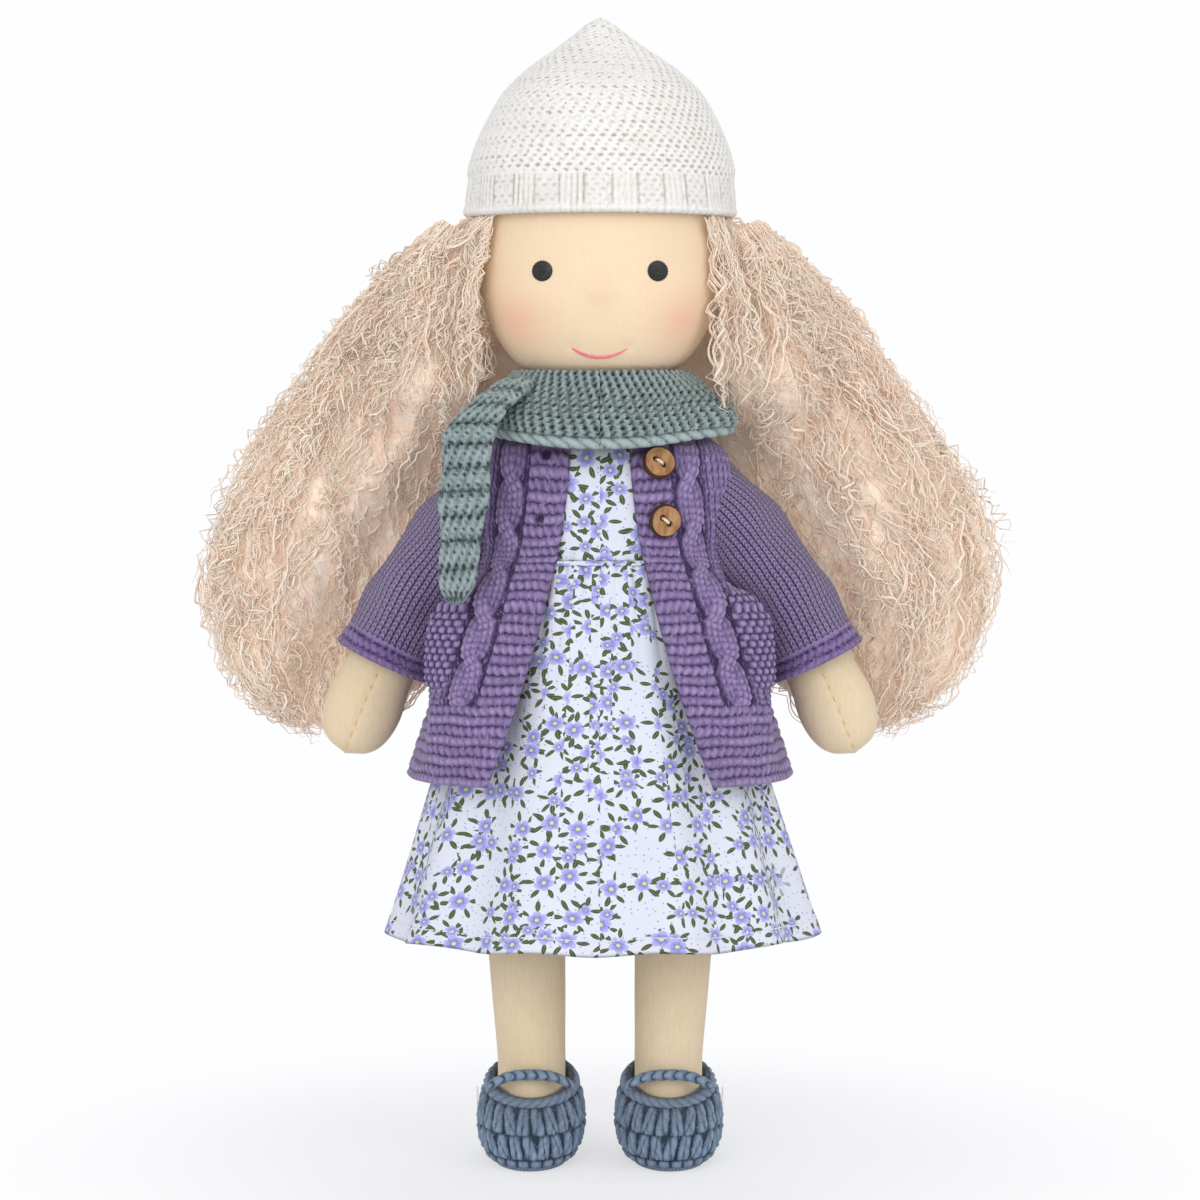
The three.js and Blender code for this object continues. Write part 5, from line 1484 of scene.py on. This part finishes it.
# THE SCARF
# Crocheted lengthwise in thick grey-green yarn, with a braided chain along its lower edge. It goes once
# round the neck; one corner stands out on the left, and the narrow end is drawn through and hangs down.
scarf_foot = 236.2
scarf_top = 262
scarf_foot_size = (41.5, 41)
scarf_top_size = (31, 29)
scarf_foot_bore = (34, 36.5)
scarf_top_bore = (25.2, 25.2)
scarf_girth_radius = 36.5
scarf_height = 27
scarf_stitch = 3.45
scarf_row = 3.75
scarf_outside = 0.84
corner_height = 246.5
corner_reach = 7.5
corner_spread = 9
chain_height = 2.2
chain_half_height = 2.3
chain_top = 4.6
chain_link = 5.2
tail_width = 16.2
tail_length = 82
tail_stitch = 3.3
tail_row = 3.6
tail_ridge = 8
tail_line_length = 80.5
tail_tip_radius = 8.5
tail_half_cloth = 8.5
scarf_green = dye(150, 166, 165)
# The next two colours are the painted shade in the hollows and the painted highlight on the crowns; they also
# tint the fibres.
scarf_shade_and_dark_fibres = dye(46, 58, 60)
scarf_highlight_and_pale_fibres = dye(184, 198, 197)
crochet = yarn("scarf_yarn", scarf_green, scarf_shade_and_dark_fibres, scarf_highlight_and_pale_fibres, fuzz=0.3, ply=900)


def wrap_place(turn, rise, depth):
    # A place in the wrap's thickness: depth is 0 on the neck's side and 1 on the outer face.
    foot = scarf_foot + 4.5 * np.cos(turn) ** 2
    height = foot + (scarf_top - foot) * rise
    round_off = 0.45 + 0.55 * np.clip(np.sin(rise * np.pi), 0, 1) ** 0.6
    near = np.exp(-(((height - corner_height) / corner_spread) ** 2))
    point = corner_reach * near * np.maximum(np.cos(turn + 0.25), 0) ** 24
    reach = []
    for i in (0, 1):
        inner = between(scarf_foot_bore[i], scarf_top_bore[i], rise)
        outer = between(scarf_foot_size[i], scarf_top_size[i], rise)
        reach.append(between(inner, between(inner, outer, round_off) + point, depth))
    return stack(reach[0] * np.cos(turn), reach[1] * np.sin(turn), height)


def crochet_rows(s, t, stitch, row):
    # Short stitches in rows: wavy strands that lock together, crossed by leaning loops, with small holes.
    s, t = uneven(s, t)
    best = np.zeros_like(t)
    half = row / 2
    nearest = np.round(t / half)
    for step in (-1, 0, 1):
        count = nearest + step
        phase = s / stitch * 2 * np.pi + np.pi * np.floor(count / 2)
        line = count * half + 0.62 * np.cos(phase + 0.9 * (count % 2))
        strand = np.sqrt(np.clip(1 - ((t - line) / 1.15) ** 2, 0, 1))
        ply = 0.86 + 0.14 * np.sin((s * 1.1 + (t - line) * 1.6) * 2 * np.pi / 1.5)
        best = np.maximum(best, strand * ply)
    lean = np.sin((s / stitch + 0.3 * t / row) * 2 * np.pi)
    return np.clip(best * (0.78 + 0.22 * lean), 0, 1)


def wrap_rule(across, along):
    # Crocheted rows on the outer face, with the chain along the foot.
    turn = across * 2 * np.pi - np.pi / 2
    rise, inside = ring_along(along, scarf_outside)
    base = wrap_place(turn, rise, 1 - inside)
    above = wrap_place(turn, np.clip(rise + 0.03, 0, 1), 1 - inside)
    below = wrap_place(turn, np.clip(rise - 0.03, 0, 1), 1 - inside)
    out = unit(np.cross(stack(-np.sin(turn), np.cos(turn), 0), above - below))
    s = turn * scarf_girth_radius
    t = rise * scarf_height
    stitch = crochet_rows(s, t - 2 * chain_height, scarf_stitch, scarf_row)
    chain = np.sqrt(np.clip(1 - ((t - chain_height) / chain_half_height) ** 2, 0, 1))
    braid = np.abs(np.sin((s / chain_link + 0.22 * (t - chain_height)) * np.pi)) ** 0.6
    edge = chain * (0.45 + 0.55 * braid)
    low = smooth_step(chain_top - t, 0, 0.4)
    clear = between(stitch, edge, low)
    soft = 0.7 * np.cos(3 * turn + 0.5) * np.sin(rise * np.pi)
    high = between(stitch * 2.0, edge * 1.7, low) + soft - 0.9
    # The inner face gets a low depth: painted shade against the neck.
    return base + out * (high * (1 - inside))[:, None], np.where(inside > 0.5, 0.15, clear ** 1.5)


wrap = woven_piece("scarf_wrap", 460, 96, wrap_rule, crochet)
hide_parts("scarf_wrap")
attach(wrap, "torso")
tail_stops = np.array([0, 0.17, 0.33, 0.55, 0.78, 1.0])
tail_x = smooth_table(tail_stops, [-26.5, -35.2, -42.0, -43.6, -45.0, -46.8])
tail_y = smooth_table(tail_stops, [-22.8, -31.3, -35.9, -38.6, -38.4, -38.4])
tail_z = smooth_table(tail_stops, [258, 251.2, 241.9, 225.7, 207, 186])


def tail_middle(share):
    return stack(tail_x(share), tail_y(share), tail_z(share))


def tail_rule(across, along):
    # A thick strip down the tail's line, with a round tip, a ridge every few rows and a fold down it.
    turn = across * 2 * np.pi
    share = along
    middle = tail_middle(share)
    heading = unit(tail_middle(share + 0.01) - tail_middle(share - 0.01))
    facing = smooth_step(share, 0, 0.3)
    beside = unit(stack(between(0.84, 0.99, facing), between(-0.54, -0.1, facing), 0))
    out = np.cross(heading, beside)
    down = share * tail_length
    to_tip = tail_line_length * (1 - share)
    round_off = np.sqrt(np.clip(1 - (1 - np.minimum(to_tip / tail_tip_radius, 1)) ** 2, 0, 1))
    narrow = between(0.82, 1.0, smooth_step(share, 0.0, 0.35))
    narrow = narrow * between(1.0, 0.72, smooth_step(share, 0.55, 0.95))
    wide = tail_width / 2 * round_off * narrow * (1 + 0.05 * np.sin(share * 23))
    thick = 2.3 * np.sqrt(round_off)
    s = np.sin(turn) * tail_half_cloth
    ridge = np.abs(np.sin((down / tail_ridge + 0.06 * np.sin(turn)) * np.pi)) ** 0.7
    stitch = crochet_rows(s, down, tail_stitch, tail_row)
    fold = 0.5 * np.exp(-((np.sin(turn) / 0.16) ** 2))
    high = 0.8 * ridge + 1.3 * stitch - fold - 0.9
    spread_out = (wide + 0.45 * (ridge - 0.5) * round_off) * np.sin(turn)
    lift = (thick + high * np.sqrt(round_off)) * np.cos(turn)
    place = middle + beside * spread_out[:, None] - out * lift[:, None]
    return place, np.clip(0.4 * ridge + 0.75 * stitch - 0.25, 0, 1)


tail = woven_piece("scarf_tail", 130, 190, tail_rule, crochet)
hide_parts("scarf_tail")
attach(tail, "scarf_end")

# THE HAIR
# A crocheted cap is sewn over the head, and long locks of curled mohair yarn are knotted into it all
# over. They spring out past the face and shoulders in loose ringlets, with many stray curls.
hair_tone = dye(250, 227, 206)
# The next two colours are the painted shade between the locks and the painted highlight on their crowns; they
# also tint the swirls and fibres.
hair_shade_and_dark_swirls = dye(232, 196, 170)
hair_highlight_and_pale_fibres = dye(255, 248, 234)
hair_points = [np.array([46, 0, 308.0]), np.array([84, 0, 250.0]), np.array([92, 0, 138.0])]
hair_half_width = 43
hair_split = 42.4
hair_top = 311
hair_shares = [0, 0.08, 0.22, 0.4, 0.58, 0.74, 0.88, 0.96, 1]
hair_width_shares = np.array([0.2, 0.26, 0.43, 0.65, 0.93, 1.14, 0.95, 0.5, 0])
hair_width = smooth_table(hair_shares, hair_half_width * hair_width_shares)
hair_front = 21
hair_front_beside_sleeve = 7
hair_rear = 43
face_rim_forward = 22
face_rim_foot = 238
face_rim_top = 256
face_rim_inner = 56
face_rim_outer = 80
hair_inner_reach = 38
hair_off_head = 41.6
hair_off_head_height = 302
hair_off_head_half_height = 52
hair_off_scarf = 43.5
hair_off_scarf_height = 266
hair_off_body = 44.0
hair_off_body_height = 242
back_foot = 150
back_half_width = 42.1
back_depth_low = 44.5
back_depth_high = 42.7
side_length = 190
front_strands = 600
rear_strands = 420
crown_strands = 240
back_strands = 560
strand_step = 1.9
lock_layers = ((11, 30.0, 8.5, 0.5), (19, 22.0, 6.0, 0.3), (31, 15.0, 4.2, 0.2))
cap_radius = 42.6
cap_front_height = 319
cap_back_drop = 29


def mohair(name, shine):
    # Pale fuzzy yarn with swirls of fine fibres, with painted shade between the locks and a painted highlight
    # on their crowns. It also glows faintly in its own colour: a painted glow that stands in for the light
    # that loose fibres pass on to each other.
    finish = Finish(name, Roughness=0.7, Sheen_Weight=0.15, Specular_IOR_Level=0.15, Emission_Strength=0.08)
    tone = finish.attribute("depth")
    kind = {"noise_dimensions": "3D"}
    values = {"Vector": finish.place(), "Scale": 170.0, "Detail": 4.0, "Roughness": 0.7, "Distortion": 2.4}
    swirls = finish.node("ShaderNodeTexNoise", kind, values, 0)
    drawn_out = finish.stretched(finish.place(), 1, 1, 0.5)
    values = {"Vector": drawn_out, "Scale": 520.0, "Detail": 3.0, "Distortion": 1.6}
    fibres = finish.node("ShaderNodeTexNoise", kind, values, 0)
    patches = finish.noise(34, 2)
    # Painted shade in the hollows between the locks.
    colour = finish.mix(hair_shade_and_dark_swirls, hair_tone, finish.step(tone, 0.0, 0.5))
    colour = finish.mix(colour, hair_shade_and_dark_swirls, finish.step(patches, 0.5, 0.75) * 0.35)
    # Painted highlight on the crowns of the locks.
    colour = finish.mix(colour, hair_highlight_and_pale_fibres, finish.step(tone, 0.5, 1.0) * shine)
    colour = finish.mix(colour, hair_highlight_and_pale_fibres, finish.step(swirls, 0.52, 0.62) * 0.45)
    colour = finish.mix(colour, hair_shade_and_dark_swirls, finish.step(swirls, 0.46, 0.36) * 0.4)
    colour = finish.mix(colour, hair_highlight_and_pale_fibres, finish.step(fibres, 0.52, 0.66) * 0.5)
    finish.set("Base Color", colour)
    # Painted glow: the surface gives off its own colour.
    finish.set("Emission Color", colour)
    finish.bump(swirls * 0.6 + fibres * 0.4, 0.0012, 0.8)
    return finish


under_hair = mohair("hair_under", 0.3)
curl_hair = mohair("hair_curls", 0.4)


def clear_of_sleeve(reach, height):
    # 0 behind the sleeve and 1 where a place is well outside or above it, seen from the front.
    line, heading = bend_line(arm_points, np.linspace(0, 1, 24))
    far = np.full(np.shape(reach), 1e9)
    side = np.zeros(np.shape(reach))
    for point, way in zip(line, heading):
        level = np.hypot(way[0], way[2])
        dx = reach - point[0]
        dz = height - point[2]
        gap = np.hypot(dx, dz)
        side = np.where(gap < far, (dz * way[0] - dx * way[2]) / level, side)
        far = np.minimum(gap, far)
    return smooth_step(side, 19, 36)


def hair_place(share, turn, spread):
    # A place in one side's hair: spread is 0 at the middle of the mass and 1 on its outside.
    width = hair_width(share)
    to_split = (bend_line(hair_points, share)[0][..., 0] - hair_split + 4) * 1.15
    inward = between(np.minimum(to_split, width * 0.84), to_split, 1 - smooth_step(share, 0.42, 0.6))
    radius = np.where(np.cos(turn) > 0, width, inward) * spread
    flat = beside_line(hair_points, share, radius * np.cos(turn), 0 * turn)
    reach = np.maximum(flat[..., 0], hair_inner_reach)
    height = flat[..., 2] + 0.9 * np.maximum(-radius * np.cos(turn), 0) * (1 - smooth_step(share, 0, 0.3))
    height = np.minimum(height, hair_top + 0.5)
    near_face = smooth_step(height, face_rim_foot, face_rim_top)
    near_face = near_face * (1 - smooth_step(reach, face_rim_inner, face_rim_outer))
    front = between(hair_front, hair_front_beside_sleeve, clear_of_sleeve(reach, height))
    front = front - face_rim_forward * near_face
    rear = hair_rear + 9 * smooth_step(hair_top - height, 0, 45) - 12 * smooth_step(180 - height, 0, 40)
    middle = (rear + front) / 2
    fill = np.minimum(width / hair_half_width + 0.45 + 0.5 * near_face, 1)
    bow = np.sign(np.sin(turn)) * np.abs(np.sin(turn)) ** between(1.0, 0.7, near_face)
    y = middle + (rear - front) / 2 * fill * spread * bow
    return stack(reach, y, height)


def lock_relief(turn, down, seed):
    # Woolly locks side by side, each one crimped along its length: from 0 in the hollows to 1 on top.
    total = 0 * turn
    for layer, (count, bend, crimp, part) in enumerate(lock_layers):
        wander = 1.5 * np.sin(down / bend + layer * 2.1 + seed)
        wander = wander + 0.7 * np.sin(down / (bend * 0.37) + turn * 2 + seed * 3)
        place = turn * count + wander
        lock = np.abs(np.sin(place / 2))
        number = np.mod(np.floor(place / (2 * np.pi)), count)
        wave = 0.5 + 0.5 * np.sin(down / crimp * 2 * np.pi + number * 2.4 + layer)
        total = total + (lock ** 0.7) * (0.65 + 0.35 * wave) * part
    return total


def beside_face(places):
    # Keeps the hair off the head, the neck and the scarf, and lets it lie over the edge of the face.
    x, y, z = places[..., 0], places[..., 1], places[..., 2]
    above = (z - hair_off_head_height) / hair_off_head_half_height
    head_x = hair_off_head * np.sqrt(np.clip(1 - (y / hair_off_head) ** 2 - above ** 2, 0.16, 1))
    wrap_x = hair_off_scarf * np.sqrt(np.clip(1 - (y / hair_off_scarf) ** 2, 0.3, 1))
    wrap_x = wrap_x * smooth_step(hair_off_scarf_height - z, 0, 8)
    body_x = hair_off_body * smooth_step(hair_off_body_height - z, 0, 8)
    return stack(np.maximum(x, np.maximum(np.maximum(head_x, wrap_x), body_x)), y, z)


def hair_mass_rule(across, along):
    # The body of one side's hair, under its loose strands.
    turn = across * 2 * np.pi
    share = np.clip(1 - (1 - along) ** 1.15, 0.0, 0.9995)
    relief = lock_relief(turn, share * side_length, 0.7)
    tuft = 0.5 + 0.5 * np.sin(turn * 5 + 3 * np.sin(share * 11)) * np.cos(share * 17 + turn * 3)
    out = 0.84 + 0.11 * relief + 0.05 * tuft
    spread = out * np.sin(np.clip(along / 0.02, 0, 1) * np.pi / 2)
    return beside_face(hair_place(share, turn, spread)), np.clip(relief * 1.15 - 0.15, 0, 1)


def back_place(across, height, lift):
    # A place on the back hair's rounded fall, "lift" outside its inner face.
    along = across * 2 - 1
    high = smooth_step(height, 256, hair_top)
    half = back_half_width + 8 * smooth_step(280 - height, 0, 45) - 10 * smooth_step(190 - height, 0, 50) ** 2
    inner = between(back_depth_low, back_depth_high, high)
    curve = 1 - between(0.16, 0.55, high) * (1 - np.sqrt(1 - along ** 2 * 0.96))
    return stack(half * along, inner * curve + lift, height)


def back_mass_rule(across, along):
    # The body of the back hair: round its outer and inner face, from a rounded foot to the cap.
    turn = along * 2 * np.pi
    height = between(back_foot, hair_top, across)
    end = np.sqrt(1 - (1 - np.clip((height - back_foot) / 18, 0, 1)) ** 2)
    side = 0.5 + 0.485 * np.cos(turn) * (0.4 + 0.6 * end)
    relief = lock_relief(side * 3.2, hair_top - height, 2.3)
    tuft = 0.5 + 0.5 * np.sin(side * 21 + 2 * np.sin(height / 19)) * np.cos(height / 13 + side * 9)
    below_hat = smooth_step(hair_top + 0.5 - height, 0, 20)
    full = (3.4 + 3.2 * relief + 1.6 * tuft) * between(0.15, 1, below_hat)
    lift = np.where(np.sin(turn) > 0, full * np.abs(np.sin(turn)) ** 0.6 * end, 0.2)
    return back_place(side, height, lift), np.clip(relief * 1.15 - 0.15, 0, 1)


def strand_radius(rng):
    return rng.uniform(0.16, 0.28) if rng.random() < 0.7 else rng.uniform(0.3, 0.55)


curl_profile = bpy.data.curves.new("curl_profile", "CURVE")
ring = curl_profile.splines.new("POLY")
ring.points.add(2)
for i in range(3):
    ring.points[i].co = (math.cos(i * 2.094), math.sin(i * 2.094), 0, 1)
ring.use_cyclic_u = True
profile_holder = bpy.data.objects.new("curl_profile", curl_profile)


def curls(name, paths, radii):
    # Every curl is one thin strand along its path, thinning to a point at its end.
    strands = bpy.data.curves.new(name, "CURVE")
    strands.dimensions = "3D"
    strands.bevel_mode = "OBJECT"
    strands.bevel_object = profile_holder
    strands.use_fill_caps = True
    for path, radius in zip(paths, radii):
        spline = strands.splines.new("POLY")
        spline.points.add(len(path) - 1)
        spline.points.foreach_set("co", np.column_stack([path * MM, np.ones(len(path))]).ravel())
        taper = np.minimum(1, (1 - np.linspace(0, 1, len(path))) * 14 + 0.15)
        spline.points.foreach_set("radius", (radius * MM * taper).astype(np.float32))
    holder = bpy.data.objects.new(name + "_line", strands)
    bpy.context.scene.collection.objects.link(holder)
    bpy.context.view_layer.update()
    drawn = holder.evaluated_get(bpy.context.evaluated_depsgraph_get())
    mesh = bpy.data.meshes.new_from_object(drawn)
    bpy.data.objects.remove(holder)
    mesh.name = name
    return mesh


def curl_path(rng, line, own):
    # One strand of a crimped lock: "own" gives what its lock shares, "rng" what the strand has alone.
    run = np.concatenate([[0], np.cumsum(np.linalg.norm(np.diff(line, axis=0), axis=1))])
    count = max(int(run[-1] / strand_step), 8)
    at = np.linspace(0, run[-1], count)
    middle = np.stack([np.interp(at, run, line[:, i]) for i in range(3)], axis=-1)
    heading = unit(np.gradient(middle, axis=0))
    beside = unit(np.cross(heading, [0, 1, 0]))
    ahead = np.cross(heading, beside)
    wave = own.uniform(5.5, 8) if own.random() < 0.6 else own.uniform(8, 13)
    phase = at / wave * 2 * np.pi + own.uniform(0, 6.28) + rng.normal(0, 0.4)
    phase = phase + 1.3 * np.sin(at / own.uniform(12, 30) * 2 * np.pi + own.uniform(0, 6.28))
    size = own.uniform(1.2, 2.6) * (0.7 + 0.4 * np.sin(at / own.uniform(4, 14) + own.uniform(0, 6.28)))
    size = size * rng.uniform(0.6, 1.25) * np.clip(at / 9, 0.2, 1)
    hand = own.choice([-1, 1])
    drift = np.clip(at / 50, 0, 1)[:, None] * (own.normal(0, 2.2, 3) + rng.normal(0, 1.4, 3))
    sideways = beside * (size * np.cos(phase))[:, None]
    return middle + drift + sideways + ahead * (0.8 * hand * size * np.sin(phase))[:, None]


def side_curls(name, side, count, seed, facing):
    # Loose strands, four to a lock, over the front (facing -1) or the rear (facing 1) of one side.
    rng = np.random.default_rng(seed)
    paths = []
    radii = []
    for number in range(count):
        own = np.random.default_rng(seed * 1000 + number // 4)
        around = own.uniform(-1.0, 1.2) if facing > 0 else own.uniform(0, 2.4)
        around = math.acos(own.uniform(-1, 1)) if number // 4 % 2 else around
        turn = facing * around + rng.normal(0, 0.06)
        spread = own.uniform(0.94, 1.01) + rng.normal(0, 0.015)
        length = own.uniform(0.2, 0.5) * rng.uniform(0.7, 1.1)
        start = max(own.uniform(-0.12, 0.82 if facing < 0 else 0.7) + rng.uniform(-0.03, 0.03), 0.0)
        share = np.linspace(start, min(start + length, 0.985), 40)
        sway = 0.2 * np.sin(share * own.uniform(5, 16) + own.uniform(0, 6.28))
        sway = sway + own.uniform(-0.5, 0.5) * (share - start)
        spring = spread * (1 + 0.04 * np.sin(share * own.uniform(5, 16) + own.uniform(0, 6.28)))
        if number % 5 == 0:
            spring = spring + rng.uniform(0.04, 0.16) * ((share - start) / length) ** 2
        path = beside_face(curl_path(rng, hair_place(share, turn + sway, spring), own))
        paths.append(path * np.array([side, 1, 1]))
        radii.append(strand_radius(rng))
    return curls(name, paths, radii)


def back_curls(name, count, seed):
    # Loose strands, four to a lock, down the back.
    rng = np.random.default_rng(seed)
    paths = []
    radii = []
    for number in range(count):
        own = np.random.default_rng(seed * 1000 + number // 4)
        across = own.uniform(0.0, 1.0) + rng.normal(0, 0.016)
        top = own.uniform(160, 316)
        foot = max(top - own.uniform(30, 90), own.uniform(138, 158))
        top = min(top, hair_top)
        height = np.linspace(top, foot, 60)
        sway = 0.04 * np.sin(height / own.uniform(14, 30) + own.uniform(0, 6.28))
        lift = own.uniform(6.0, 8.8) + rng.uniform(0, 0.6)
        lift = lift * between(0.3, 1, smooth_step(hair_top + 1 - height, 0, 20))
        line = back_place(np.clip(across + sway, 0.0, 1.0), height, lift)
        paths.append(curl_path(rng, line, own))
        radii.append(strand_radius(rng))
    return curls(name, paths, radii)


def crown_curls(name, side, count, seed):
    # Locks that leave the cap just under the hat's edge, lie over the rim of the face and join the mass.
    rng = np.random.default_rng(seed)
    paths = []
    radii = []
    for number in range(count):
        own = np.random.default_rng(seed * 1000 + number // 5)
        by_face = number // 5 % 3 == 0
        turn = (own.uniform(-0.62, -0.2) if by_face else own.uniform(-0.6, 1.45)) + rng.normal(0, 0.04)
        start = np.array([cap_radius * math.cos(turn), cap_radius * math.sin(turn), rng.uniform(308, 313)])
        if by_face:
            target = np.array([own.uniform(40, 52), own.uniform(-20, -10), own.uniform(246, 286)])
            bow = np.array([own.uniform(0, 5), own.uniform(-3, 0), own.uniform(-2, 3)])
        else:
            share = np.array([own.uniform(0.1, 0.45)])
            around = np.array([own.uniform(-2.6, 1.5)])
            target = hair_place(share, around, np.array([own.uniform(0.9, 1.02)]))[0]
            bow = np.array([own.uniform(0, 5), own.uniform(-4, 2), own.uniform(2, 8)])
        middle = (start + target) / 2 + bow
        target = target + rng.normal(0, 1.5, 3)
        t = np.linspace(0, 1, 30)[:, None]
        line = (1 - t) ** 2 * start + 2 * t * (1 - t) * middle + t ** 2 * target
        paths.append(beside_face(curl_path(rng, line, own)) * np.array([side, 1, 1]))
        radii.append(strand_radius(rng))
    return curls(name, paths, radii)


def hair_piece(mesh, seed):
    # Loose strands as a piece, in patches a little lighter and darker.
    rng = np.random.default_rng(seed)
    places = np.empty(len(mesh.vertices) * 3)
    mesh.vertices.foreach_get("co", places)
    x, y, z = places.reshape(-1, 3).T
    patches = np.sin(x * 400) * np.sin(z * 330 + y * 200)
    set_depth(mesh, np.clip(0.76 + 0.22 * patches + rng.normal(0, 0.05, len(x)), 0, 1))
    mesh.shade_smooth()
    return placed(mesh.name, mesh, curl_hair)


hair_pieces = []
for name, side in sides:
    mass = woven_piece("hair_mass_" + name, 250, 190, mirrored(hair_mass_rule, side), under_hair)
    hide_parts("hair_" + name)
    hair_pieces.append(mass)
    for part, facing, count in (("front", -1, front_strands), ("rear", 1, rear_strands)):
        seed_number = 11 + len(hair_pieces) * 7
        drawn = side_curls("hair_" + name + "_" + part, side, count, seed_number, facing)
        hair_pieces.append(hair_piece(drawn, seed_number))
    drawn = crown_curls("hair_crown_" + name, side, crown_strands, 5 + side)
    hair_pieces.append(hair_piece(drawn, 3))
mass = woven_piece("hair_mass_back", 110, 220, back_mass_rule, under_hair)
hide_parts("hair_back")
hair_pieces.append(mass)
hair_pieces.append(hair_piece(back_curls("hair_back_curls", back_strands, 91), 91))
for piece in hair_pieces:
    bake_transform(piece)


def cap_rule(across, along):
    # The cap: rounds of short stitches, almost hidden by the hat and the hair.
    turn = across * 2 * np.pi
    spread, inside = ring_along(1 - along, 0.5)
    spread = 1 - spread
    rim = cap_front_height - cap_back_drop * smooth_step((np.sin(turn) + 1) / 2, 0, 1)
    share = 1 - (1 - (rim - head_foot) / head_height) * np.clip(spread, 0, 1) ** 1.2
    stitch = 0.25 * np.cos(turn * 60) * np.cos(spread * 60)
    return head_place(turn, share, 0.8 + (0.9 + stitch) * (1 - inside)), 0.4 + stitch


cap = woven_piece("wig_cap", 120, 70, cap_rule, under_hair)
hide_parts("wig_cap")
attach(cap, "head")

# THE HAT
# A pointed hat knitted in white wool: a band of fine ribs in groups, then rows of purl bumps that draw
# in to a round point at the top.
hat_brim = 312.5
hat_top = 380
hat_radius = 44.3
hat_wall = 2.0
hat_band = 13.0
hat_groups = 16
hat_outside = 0.93
ribbed_part = 0.45
purl_row = 1.62
purl_width = 3.5
hat_shape = smooth_table([0, 0.06, 0.16, 0.28, 0.38, 0.5, 0.62, 0.74, 0.84, 0.92, 0.975, 1],
                         [0.995, 1.005, 0.99, 0.955, 0.915, 0.845, 0.745, 0.555, 0.34, 0.18, 0.08, 0])
hat_white = dye(233, 231, 226)
# The next two colours are the painted shade in the hollows and the painted highlight on the crowns; they also
# tint the fibres.
hat_shade = dye(196, 186, 170)
hat_highlight_and_pale_fibres = dye(255, 254, 250)
hat_wool = yarn("hat_wool", hat_white, hat_shade, hat_highlight_and_pale_fibres, fuzz=0.3, ply=1000)
hat_rise = hat_top - 1.6 - hat_brim
profile_shares = np.linspace(0, 1, 400)
profile_radii = hat_radius * hat_shape(profile_shares)
profile_heights = hat_brim + hat_rise * profile_shares
profile_run = np.concatenate([[0], np.cumsum(np.hypot(np.diff(profile_radii), np.diff(profile_heights)))])


def purl_rows(turn, t):
    # Wavy strands, each row set half a bump on from the last, so that they lock into each other.
    best = np.zeros_like(t)
    nearest = np.round(t / purl_row)
    for step in (-1, 0, 1):
        row = nearest + step
        around = 2 * np.pi * np.interp(row * purl_row, profile_run, profile_radii)
        count = np.maximum(np.round(around / purl_width), 5)
        phase = turn * count + np.pi * (row % 2)
        line = row * purl_row + 0.55 * np.cos(phase) + 0.18 * np.sin(turn * 5 + row * 1.7)
        fat = 1.0 + 0.12 * np.cos(2 * phase + 0.6) + 0.08 * np.sin(turn * 37 + row * 2.3)
        best = np.maximum(best, np.sqrt(np.clip(1 - ((t - line) / fat) ** 2, 0, 1)))
    return best


def hat_rule(across, along):
    # Ribs in groups on the band, purl rows above it, and a smooth inside.
    turn = across * 2 * np.pi + np.pi / 2
    rise, inside = ring_along(along, hat_outside)
    t = rise * profile_run[-1]
    share = np.interp(t, profile_run, profile_shares)
    radius = hat_radius * hat_shape(share)
    height = hat_brim + hat_rise * share
    purl = purl_rows(turn, t)
    group = turn / (2 * np.pi) * hat_groups + 0.725 + 0.03 * np.sin(turn * 3)
    place = group - np.floor(group)
    bars = np.abs(np.sin(place / ribbed_part * 4 * np.pi)) ** 0.7
    bars = bars * smooth_step(ribbed_part - place, 0, 0.01)
    plain = smooth_step(place, ribbed_part, ribbed_part + 0.05) * smooth_step(1 - place, 0, 0.05)
    rib = bars * (0.85 + 0.15 * np.abs(np.sin(t / 2.2 * np.pi))) + plain * (0.45 * purl + 0.3)
    wave = 0.5 + 0.5 * np.cos(turn * 90)
    roll = np.exp(-(((t - 1.6) / 1.5) ** 2)) * (0.8 + 0.2 * wave)
    on_band = smooth_step(hat_band - t, 0, 0.8)
    edge = rounded(t, 1.6)
    clear = between(purl, np.maximum(rib, roll), on_band)
    slack = (0.8 * np.cos(3 * turn + 0.4) + 0.5 * np.cos(2 * turn - t * 0.09)) * np.sin(share * np.pi)
    swell = smooth_step(t, hat_band - 0.5, hat_band + 3) * (1 - smooth_step(t, hat_band + 8, hat_band + 30))
    high = between(purl * 0.95, rib * 0.9 + roll * 0.9, on_band) - 0.4 + 0.9 * swell
    fade = smooth_step(radius, 0, 5)
    relief = high * edge * fade + slack - (1 - edge) * 0.9
    shown = radius + relief * (1 - inside) - hat_wall * inside
    shown = np.maximum(shown, 0) * smooth_step(1 - share, 0, 0.002)
    lift = (high * (1 - fade) * 0.6 - 0.25 * wave * np.exp(-t / 1.2)) * (1 - inside)
    drop = hat_wall * inside * share
    place = stack(shown * np.cos(turn), shown * np.sin(turn), height + lift - drop)
    # The inner face gets a low depth: painted shade inside the hat.
    return place, np.where(inside > 0.5, 0.3, clear)


hat = woven_piece("hat", 420, 190, hat_rule, hat_wool)
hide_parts("hat")
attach(hat, "hat")

bpy.context.view_layer.update()
